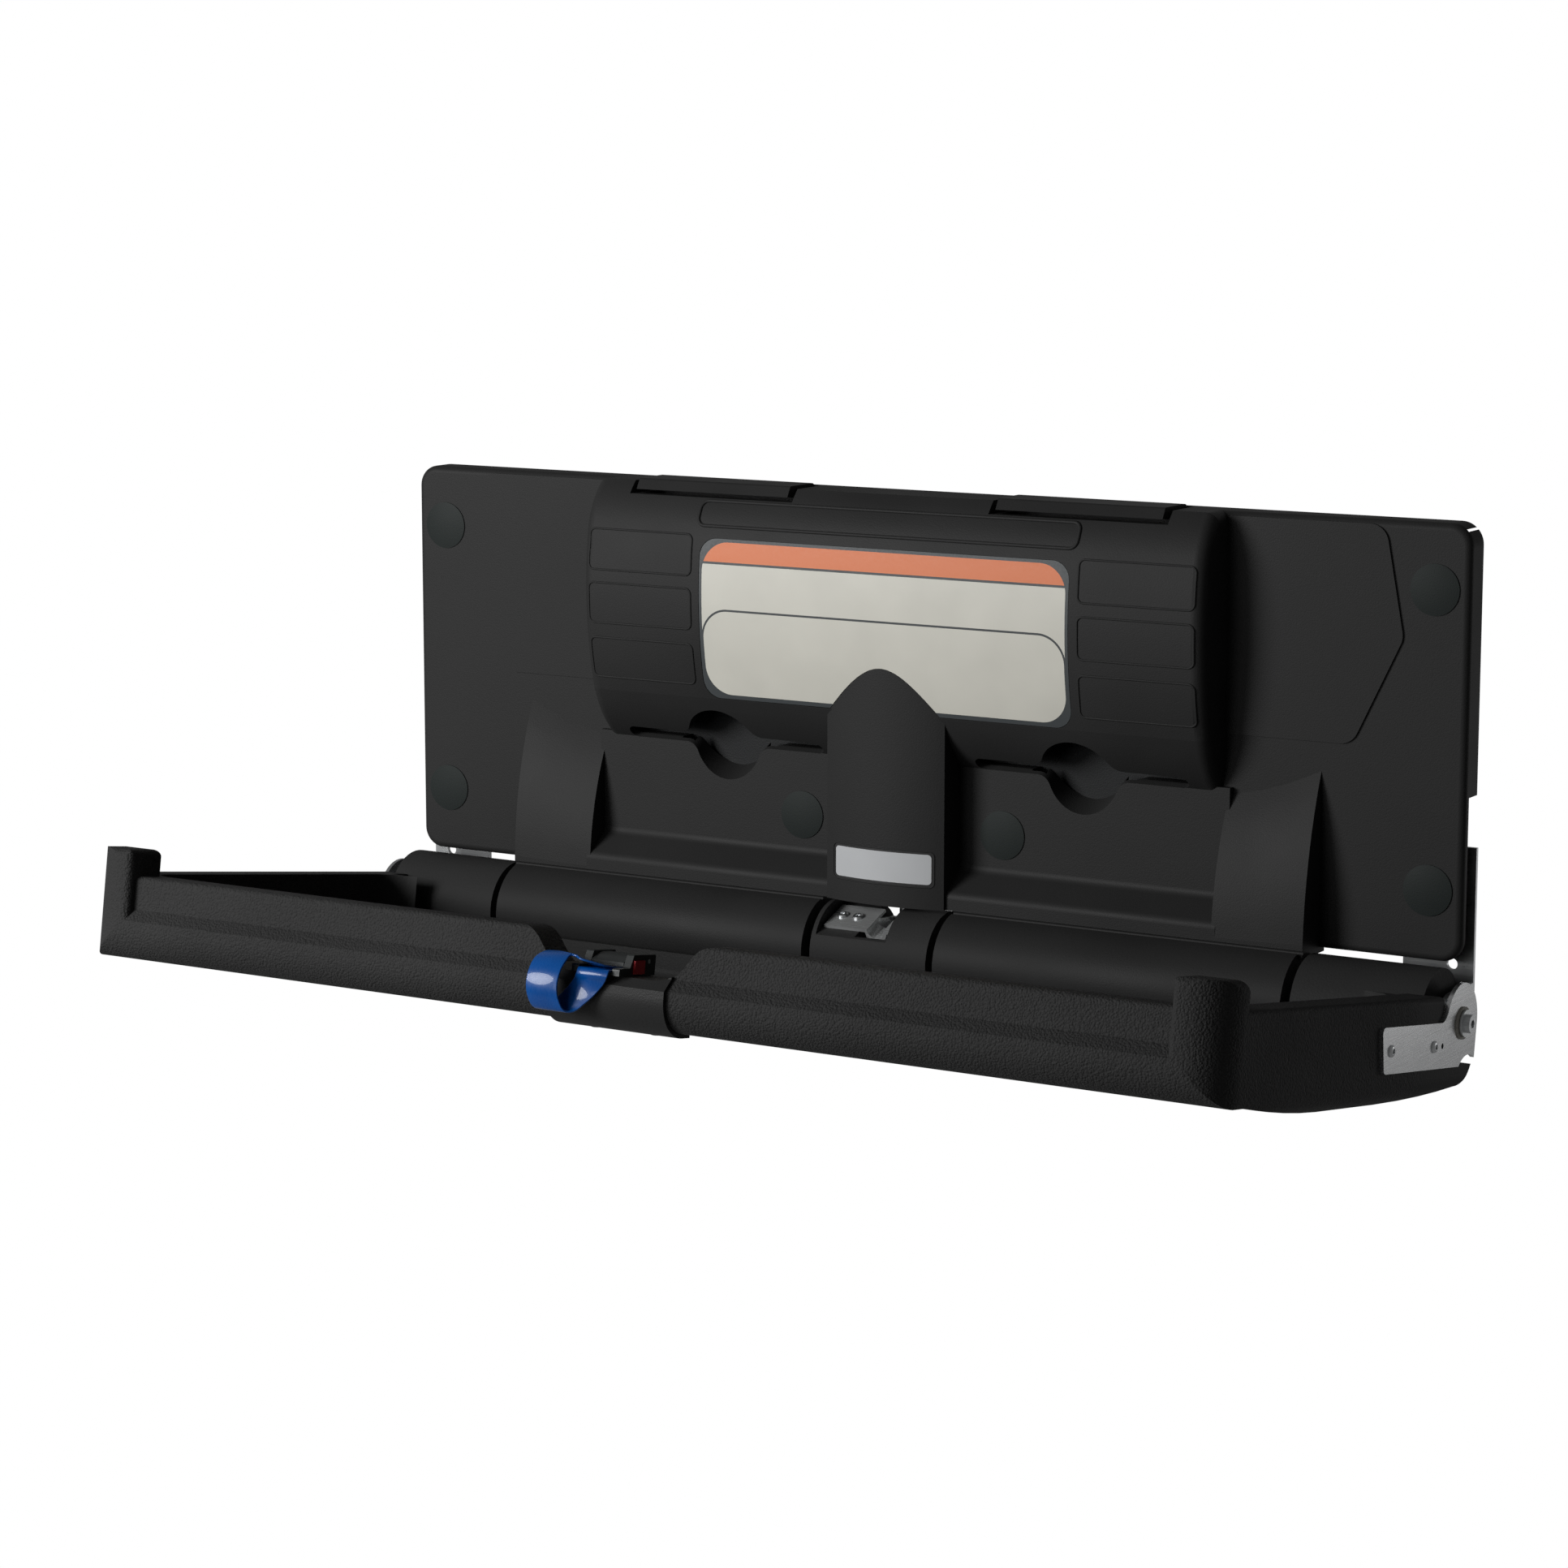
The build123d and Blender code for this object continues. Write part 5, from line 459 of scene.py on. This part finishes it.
# %% [markdown]
# A soft disc at the left front, a little above the station, does most of the lighting, so
# the right sides fall nearly black. A weak one further round to the front fills in, and a
# small one behind on the right is there for the steel, which has no colour of its own and
# only shows what it reflects. The camera doesn't see the lamps.
# %% Light
LIGHTS = (
    ("key", (-1.3, -2.0, 0.55), (-0.05, -0.15, -0.05), 1.1, 41.0),
    ("front", (-0.5, -3.2, 0.2), (0.0, -0.2, -0.1), 1.2, 8.0),
    ("steel_card", (1.3, 1.15, -0.25), (0.45, -0.15, -0.2), 0.55, 1.2),
)
for title, place, aim, size, power in LIGHTS:
    lamp = bpy.data.lights.new(title, "AREA")
    lamp.shape = "DISK"
    lamp.size = size
    lamp.energy = power
    stand = into_scene(bpy.data.objects.new(title, lamp))
    stand.location = place
    stand.rotation_euler = (Vector(aim) - Vector(place)).to_track_quat("-Z", "Y").to_euler()
    stand.visible_camera = False
print("lights:", [row[0] for row in LIGHTS])

# %% [markdown]
# Some details repeat or follow a path, so Geometry Nodes make them. Each tree has named
# inputs and ends with real geometry and its material. Running a tree on a wire or on a
# set of points gives a plain mesh, and the object that carried the tree goes away again.
# %% Make and run a geometry tree


def geometry_tree(name, inputs, output):
    """An empty tree with named inputs, and the terms that carry them."""
    tree = bpy.data.node_groups.new(name, "GeometryNodeTree")
    for title, kind in inputs:
        tree.interface.new_socket(title, in_out="INPUT", socket_type="NodeSocket" + kind)
    tree.interface.new_socket(output, in_out="OUTPUT", socket_type="NodeSocketGeometry")
    given = tree.nodes.new("NodeGroupInput")
    return tree, [Term(tree, given.outputs[title]) for title, kind in inputs]


def end_tree(tree, shape, finish):
    """Ends a tree with real geometry and its material."""
    shape = add_node(tree, "GeometryNodeRealizeInstances", Geometry=shape)
    shape = add_node(tree, "GeometryNodeSetMaterial", Geometry=shape, Material=finish)
    connect(tree, tree.nodes.new("NodeGroupOutput").inputs[0], shape)


def points_mesh(name, places, pairs, attribute, vectors):
    """Points, joined in pairs or not, each with one vector for the tree to read."""
    mesh = bpy.data.meshes.new(name)
    mesh.from_pydata(places, pairs, [])
    for entry, vector in zip(mesh.attributes.new(attribute, "FLOAT_VECTOR", "POINT").data,
                             vectors):
        entry.vector = vector
    return mesh


def run_tree(name, tree, start, values):
    """Runs a tree on a starting mesh and gives the result as an object of its own."""
    holder = into_scene(bpy.data.objects.new(start.name, start))
    modifier = holder.modifiers.new("tree", "NODES")
    modifier.node_group = tree
    for item in tree.interface.items_tree:
        if item.in_out == "INPUT" and item.name in values:
            modifier[item.identifier] = values[item.name]
    graph = bpy.context.evaluated_depsgraph_get()
    mesh = bpy.data.meshes.new_from_object(holder.evaluated_get(graph))
    bpy.data.objects.remove(holder)
    print(name, "has", len(mesh.polygons), "faces")
    return into_scene(bpy.data.objects.new(name, mesh))


print("ready to run trees")

# %% [markdown]
# Many details follow a path: the strap, the beads round the bare fields of the hood and
# the edges of the plates. One node tree serves them all. It turns a wire into a curve,
# aims its normal by an attribute, and sweeps a rounded bar along it. The bar's width and
# thickness are inputs, so the same tree makes a ribbon and a thin bead.
# %% A tree that sweeps a bar along a wire
ROUNDING_STEPS = 3


def sweep_tree():
    """The tree that turns a wire into a bar with rounded edges."""
    tree, (wire, width, thickness, rounding, finish) = geometry_tree(
        "swept_bar", (("Wire", "Geometry"), ("Width", "Float"), ("Thickness", "Float"),
                      ("Rounding", "Float"), ("Finish", "Material")), "Bar")
    across = add_node(tree, "GeometryNodeInputNamedAttribute",
                      {"data_type": "FLOAT_VECTOR"}, Name="across")
    path = add_node(tree, "GeometryNodeMeshToCurve", Mesh=wire)
    path = add_node(tree, "GeometryNodeSetCurveNormal", {"mode": "FREE"}, Curve=path,
                    Normal=across)
    section = add_node(tree, "GeometryNodeCurvePrimitiveQuadrilateral", Width=width,
                       Height=thickness)
    section = add_node(tree, "GeometryNodeFilletCurve", {"mode": "POLY"}, Curve=section,
                       Count=ROUNDING_STEPS, Radius=rounding, Limit_Radius=True)
    bar = add_node(tree, "GeometryNodeCurveToMesh", Curve=path, Profile_Curve=section,
                   Fill_Caps=True)
    bar = add_node(tree, "GeometryNodeSetShadeSmooth", Geometry=bar, Shade_Smooth=True)
    end_tree(tree, bar, finish)
    return tree


SWEEP = sweep_tree()


def swept(name, wires, width, thickness, rounding, finish):
    """Bars swept along wires, each a list of (place, across), closed or not."""
    places, pairs, turns = [], [], []
    for rows, closed in wires:
        first = len(places)
        places += [row[0] for row in rows]
        turns += [row[1] for row in rows]
        pairs += [(first + n, first + n + 1) for n in range(len(rows) - 1)]
        if closed:
            pairs.append((first + len(rows) - 1, first))
    wire = points_mesh(name + "_wire", places, pairs, "across", turns)
    return run_tree(name, SWEEP, wire, {"Width": width, "Thickness": thickness,
                                        "Rounding": rounding, "Finish": finish})


print("sweep tree with", len(SWEEP.nodes), "nodes")

# %% [markdown]
# The strap leaves the buckle, turns over in a loop at the front of the saddle and comes
# back under the cam, then drops inside the tray to its anchor. Its centre line is a list
# of points on the tray, each with the turn of the strap's width, as a maker would pin it.
# %% Where the strap is pinned
TILT = radians(9.2)
HINGE_Y, HINGE_Z = -0.042, -0.192
BUCKLE_X = -0.0065
STATIONS = (
    (0.0, 0.3640, -0.0030, 0), (0.0, 0.3800, -0.0030, 0), (-0.0045, 0.3875, -0.00125, 30),
    (-0.0140, 0.3910, 0.0015, 52), (-0.0235, 0.3910, 0.00325, 36),
    (-0.0290, 0.3940, 0.0030, 12), (-0.0305, 0.4015, -0.0015, 0),
    (-0.0310, 0.4070, -0.0100, 0), (-0.0310, 0.4085, -0.0195, 0),
    (-0.0295, 0.4070, -0.0280, 0), (-0.0265, 0.4035, -0.0340, 0),
    (-0.0220, 0.3995, -0.0340, 0), (-0.0160, 0.3965, -0.0285, 0),
    (-0.0090, 0.39425, -0.02075, 0), (-0.0025, 0.3945, -0.0125, 0),
    (0.0, 0.39575, -0.0080, 0), (0.0, 0.3934, -0.0047, 0), (0.0, 0.3466, -0.0047, 0),
    (0.0, 0.3450, -0.0055, 0), (0.0, 0.3435, -0.0075, 0), (0.0, 0.3430, -0.0125, 0),
    (0.0, 0.3430, -0.0250, 0), (0.0, 0.3415, -0.0325, 0), (0.0, 0.3360, -0.0365, 0),
    (0.0, 0.3175, -0.0370, 0), (0.0, 0.0680, -0.0370, 0),
)
ACROSS = Vector((1, 0, 0))
ALONG = Vector((0, -cos(TILT), sin(TILT)))
UP = Vector((0, sin(TILT), cos(TILT)))


def on_tray(x, along, up):
    """A place given in the tray's own axes, in the frame's axes."""
    return Vector((x, HINGE_Y, HINGE_Z)) + ALONG * along + UP * up


print(len(STATIONS), "pins, the first at", [round(v, 3) for v in on_tray(*STATIONS[0][:3])])

# %% [markdown]
# A smooth curve runs between the pins, with a cubic for each span. Where a long span meets
# a short one the strap is pulled flat, so the curve leaves there along the long one.
# %% Strap
STRAP_WIDTH = 0.025
STRAP_THICK = 0.0014
STRAP_ROUNDING = 0.42
STEPS_PER_SPAN = 8
PULLED_FLAT = 2.5


def strap_ways(spans):
    """The way the strap runs at each pin."""
    ways = []
    for n in range(len(spans) + 1):
        before = spans[max(n - 1, 0)]
        after = spans[min(n, len(spans) - 1)]
        if after.length > PULLED_FLAT * before.length:
            ways.append(after.normalized())
        elif before.length > PULLED_FLAT * after.length:
            ways.append(before.normalized())
        else:
            ways.append((before.normalized() + after.normalized()).normalized())
    return ways


def strap_line(stations, steps):
    """Points of a smooth line through the pins, each with the turn of the width."""
    places = [on_tray(BUCKLE_X + x, along, up) for x, along, up, turn in stations]
    spans = [b - a for a, b in zip(places, places[1:])]
    ways = strap_ways(spans)
    rows = []
    for n, span in enumerate(spans):
        for step in range(steps):
            t = step / steps
            here = (places[n] * (2 * t ** 3 - 3 * t ** 2 + 1)
                    + ways[n] * span.length * (t ** 3 - 2 * t ** 2 + t)
                    + places[n + 1] * (3 * t ** 2 - 2 * t ** 3)
                    + ways[n + 1] * span.length * (t ** 3 - t ** 2))
            ease = t * t * (3 - 2 * t)
            turn = radians(stations[n][3] * (1 - ease) + stations[n + 1][3] * ease)
            rows.append((here, ACROSS * cos(turn) + ALONG * sin(turn)))
    rows.append((places[-1], ACROSS.copy()))
    return rows


strap_rows = strap_line(STATIONS, STEPS_PER_SPAN)
strap = swept("strap_ribbon", [(strap_rows, False)], STRAP_WIDTH, STRAP_THICK,
              STRAP_THICK * STRAP_ROUNDING, vinyl.material)
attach(strap, "tray")
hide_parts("strap")
strap_length = sum((b[0] - a[0]).length for a, b in zip(strap_rows, strap_rows[1:]))
print("strap length", round(strap_length, 3))

# %% [markdown]
# The hood carries bare fields for raised writing: three at each side and a long one above
# the label, each with a fine raised bead round it. The beads lie on a curved face, so each
# outline is drawn flat and its points are dropped onto the moulding by casting rays at it.
# %% Outlines on the moulding
RAY_START_Y = -0.5
OUTLINE_PITCH = 0.004
CORNER_STEPS = 6
shell_mesh = frame["nodes"]["back_shell"].data
shell_skin = BVHTree.FromPolygons([v.co.copy() for v in shell_mesh.vertices],
                                  [list(p.vertices) for p in shell_mesh.polygons])


def rounded_outline(left, right, low, high, corner):
    """A closed outline with round corners, as flat points about a pitch apart."""
    corners = ((right, high, 0), (left, high, 90), (left, low, 180), (right, low, 270))
    ring = []
    for x, z, start in corners:
        middle_x = x - corner if start in (0, 270) else x + corner
        middle_z = z - corner if start in (0, 90) else z + corner
        for step in range(CORNER_STEPS + 1):
            turn = radians(start + 90 / CORNER_STEPS * step)
            ring.append((middle_x + corner * cos(turn), middle_z + corner * sin(turn)))
    full = []
    for (x, z), (next_x, next_z) in zip(ring, ring[1:] + ring[:1]):
        length = ((next_x - x) ** 2 + (next_z - z) ** 2) ** 0.5
        count = max(1, round(length / OUTLINE_PITCH))
        full += [(x + (next_x - x) * n / count, z + (next_z - z) * n / count)
                 for n in range(count)]
    return full


def bead_wire(*field):
    """A field's closed outline on the moulding, each point with the way it faces."""
    return [shell_skin.ray_cast(Vector((x, RAY_START_Y, z)), Vector((0, 1, 0)))[:2]
            for x, z in rounded_outline(*field)], True


print("moulding has", len(shell_mesh.polygons), "triangles")

# %% [markdown]
# The side fields are alike, so loops over the two sides and the three heights place them.
# The long field's bead is broader, as it frames larger writing.
# %% Beads round the bare fields
FIELD_INNER_X, FIELD_OUTER_X = 0.1635, 0.2555
FIELD_HEIGHTS = ((0.0845, 0.1155), (0.0435, 0.0745), (0.0010, 0.0320))
FIELD_CORNER = 0.0045
LONG_FIELD = (-0.160, 0.160, 0.1225, 0.1405, 0.006)
SIDE_BEAD, SIDE_BEAD_ROUNDING = 0.0016, 0.0007
LONG_BEAD, LONG_BEAD_ROUNDING = 0.0026, 0.0011
side_fields = []
for side in (-1, 1):
    left, right = sorted((side * FIELD_INNER_X, side * FIELD_OUTER_X))
    side_fields += [(left, right, low, high, FIELD_CORNER) for low, high in FIELD_HEIGHTS]
beads = swept("field_beads", [bead_wire(*field) for field in side_fields],
              SIDE_BEAD, SIDE_BEAD, SIDE_BEAD_ROUNDING, shell)
title_bead = swept("long_field_bead", [bead_wire(*LONG_FIELD)],
                   LONG_BEAD, LONG_BEAD, LONG_BEAD_ROUNDING, shell)
for bead in (beads, title_bead):
    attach(bead, "base")
print("beads round", len(side_fields) + 1, "fields")

# %% [markdown]
# The name plate sits in a fine moulded frame, and a clear sheet such as the label has a cut
# edge that catches the light; that light is painted here, as a pale bead. Both follow the
# plate's own outline, found where a front face meets a side face. A known fault: on the
# curved label the walk along the outline stops after two points, so its painted highlight
# is only a flat strip along part of its foot.
# %% Edges of the plates
SAME_PLACE = 0.00002
FACES_FRONT = 0.6
FACES_SIDE = 0.35
PLATE_ROUNDING = 0.45
EDGE_CLOUD_SCALE = 60.0
LABEL_EDGE, NAME_FRAME = 0.0010, 0.0012
# painted highlight: the label's cut edge gets pale colours for the light it catches
edge_highlight = Finish("plate_edge", Specular_IOR_Level=0.5)
edge_cloud = edge_highlight.noise(EDGE_CLOUD_SCALE)
edge_highlight.set(Base_Color=edge_highlight.blend(edge_highlight.spread(edge_cloud),
                                           srgb(190, 195, 195), srgb(226, 229, 227)),
               Roughness=edge_highlight.spread(edge_cloud, 0.2, 0.3))


def merged_copy(node):
    """A copy of a node's mesh whose loose triangles are joined at their corners."""
    work = bmesh.new()
    work.from_mesh(frame["nodes"][node].data)
    bmesh.ops.remove_doubles(work, verts=work.verts, dist=SAME_PLACE)
    return work


def plate_outline(node):
    """The closed outline of a plate's front face, as places with the way they face."""
    work = merged_copy(node)
    after = {}
    for edge in work.edges:
        facings = [face.normal for face in edge.link_faces]
        if len(facings) == 2:
            front = max(-n.y for n in facings)
            side = min(abs(n.y) for n in facings)
            if front > FACES_FRONT and side < FACES_SIDE:
                a, b = edge.verts
                after.setdefault(a.index, []).append(b.index)
                after.setdefault(b.index, []).append(a.index)
    work.verts.ensure_lookup_table()
    start = min(after)
    order, last = [start], None
    while True:
        ways = [n for n in after[order[-1]] if n != last]
        if not ways or ways[0] == start:
            break
        last = order[-1]
        order.append(ways[0])
    rows = [(work.verts[n].co.copy(), Vector((0, -1, 0))) for n in order]
    work.free()
    return rows


for node, thick, finish, slot in (
        ("label_plate", LABEL_EDGE, edge_highlight.material, "label_plastic"),
        ("name_plate", NAME_FRAME, shell, "shell_plastic")):
    outline = plate_outline(node)
    print(node, "outline of", len(outline), "points")
    edge = swept(node + "_edge", [(outline, True)], thick, thick,
                 thick * PLATE_ROUNDING, finish)
    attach(edge, "base")

# %% [markdown]
# The screws are pan heads with a hexagon drive. One head is built as a turned profile, in
# rings from its foot to its crown, and the last two rings are the sunk hexagon.
# %% One screw head
HEAD_RADIUS = 0.0042
HEAD_RISE = 0.0022
HEAD_SIDES = 24
HEAD_RINGS = ((1.0, 0.0, False), (1.0, 0.36, False), (0.93, 0.6, False),
              (0.78, 0.84, False), (0.55, 0.98, False), (0.5, 0.98, True),
              (0.46, 0.42, True))


def screw_head():
    """One head on the origin, its foot down: rings of a turned profile round a hexagon."""
    work = bmesh.new()
    rings = []
    for share, rise, hexagon in HEAD_RINGS:
        ring = []
        for n in range(HEAD_SIDES):
            turn = 2 * pi * n / HEAD_SIDES
            reach = HEAD_RADIUS * share
            if hexagon:
                reach *= cos(pi / 6) / cos((turn % (pi / 3)) - pi / 6)
            ring.append(work.verts.new((reach * cos(turn), reach * sin(turn),
                                        HEAD_RISE * rise)))
        rings.append(ring)
    for low, high in zip(rings, rings[1:]):
        for n in range(HEAD_SIDES):
            m = (n + 1) % HEAD_SIDES
            work.faces.new((low[n], low[m], high[m], high[n]))
    work.faces.new(list(reversed(rings[0])))
    work.faces.new(rings[-1])
    mesh = bpy.data.meshes.new("screw_head")
    work.to_mesh(mesh)
    work.free()
    return mesh


pattern = into_scene(bpy.data.objects.new("screw_head", screw_head()))
print("a head has", len(pattern.data.polygons), "faces")

# %% [markdown]
# Each place and direction is read from the frame's own screws, so a head always sits where
# its screw is. A node of screws is one mesh with a loose island for each screw, and the
# head's foot lies one head's rise below the island's crown. The corners are walked in the
# mesh's own order, so that every run sets the same heads in the same order.
# %% Find the screws
CROWN_DEPTH = 0.0001
LEAN = radians(30.2)
LEAF_FACING = Vector((0, -sin(LEAN) * cos(TILT) + cos(LEAN) * sin(TILT),
                      sin(LEAN) * sin(TILT) + cos(LEAN) * cos(TILT)))


def screw_spots(node, facing):
    """The foot of each screw's head in a node: one for each loose island of its mesh."""
    work = merged_copy(node)
    seen, spots = set(), []
    for first in work.verts:
        if first in seen:
            continue
        seen.add(first)
        island = [first]
        for vert in island:
            for edge in vert.link_edges:
                other = edge.other_vert(vert)
                if other not in seen:
                    seen.add(other)
                    island.append(other)
        reach = max(vert.co.dot(facing) for vert in island)
        crown = [vert.co for vert in island if vert.co.dot(facing) > reach - CROWN_DEPTH]
        middle = sum(crown, Vector()) / len(crown)
        spots.append(middle - facing * (middle.dot(facing) - reach + HEAD_RISE))
    work.free()
    return spots


print("crank screws at", [[round(v, 3) for v in spot]
                          for spot in screw_spots("crank_screws", LEAF_FACING)])

# %% [markdown]
# A node tree sets a copy of the head at every spot, turned to face the right way. The
# saddle's screws are black and sunk, because no heads show below the cover.
# %% Screw heads
SADDLE_SUNK = 0.0014
SCREWS = (
    ("tray_screw_heads", "tray", plated, 0.0,
     (("plate_screws_left", Vector((-1, 0, 0))), ("plate_screws_right", Vector((1, 0, 0))),
      ("anchor_screws", UP), ("crank_screws", LEAF_FACING))),
    ("saddle_screw_heads", "tray", black_paint, SADDLE_SUNK, (("saddle_screws", -UP),)),
    ("base_screw_heads", "base", plated, 0.0,
     (("liner_cover_screws", Vector((0, 1, 0))),
      ("spring_bracket_screws", Vector((0, 0, -1))))),
)


def heads_tree():
    """The tree that sets a head on every point, along the point's own facing."""
    tree, (places, head, finish) = geometry_tree(
        "set_heads", (("Places", "Geometry"), ("Head", "Object"), ("Finish", "Material")),
        "Heads")
    facing = add_node(tree, "GeometryNodeInputNamedAttribute",
                      {"data_type": "FLOAT_VECTOR"}, Name="facing")
    turn = add_node(tree, "FunctionNodeAlignRotationToVector", {"axis": "Z"}, Vector=facing)
    shape = add_node(tree, "GeometryNodeObjectInfo", out="Geometry", Object=head)
    heads = add_node(tree, "GeometryNodeInstanceOnPoints", Points=places, Instance=shape,
                     Rotation=turn)
    end_tree(tree, heads, finish)
    return tree


HEADS = heads_tree()
for title, body, finish, sunk, rows in SCREWS:
    spots, facings = [], []
    for node, facing in rows:
        found = [spot - facing * sunk for spot in screw_spots(node, facing)]
        spots += found
        facings += [facing] * len(found)
    points = points_mesh(title + "_spots", spots, [], "facing", facings)
    heads = run_tree(title, HEADS, points, {"Head": pattern, "Finish": finish})
    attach(heads, body)
    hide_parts(*[row[0] for row in rows])
    print(title, "has", len(spots), "heads")
bpy.data.objects.remove(pattern)
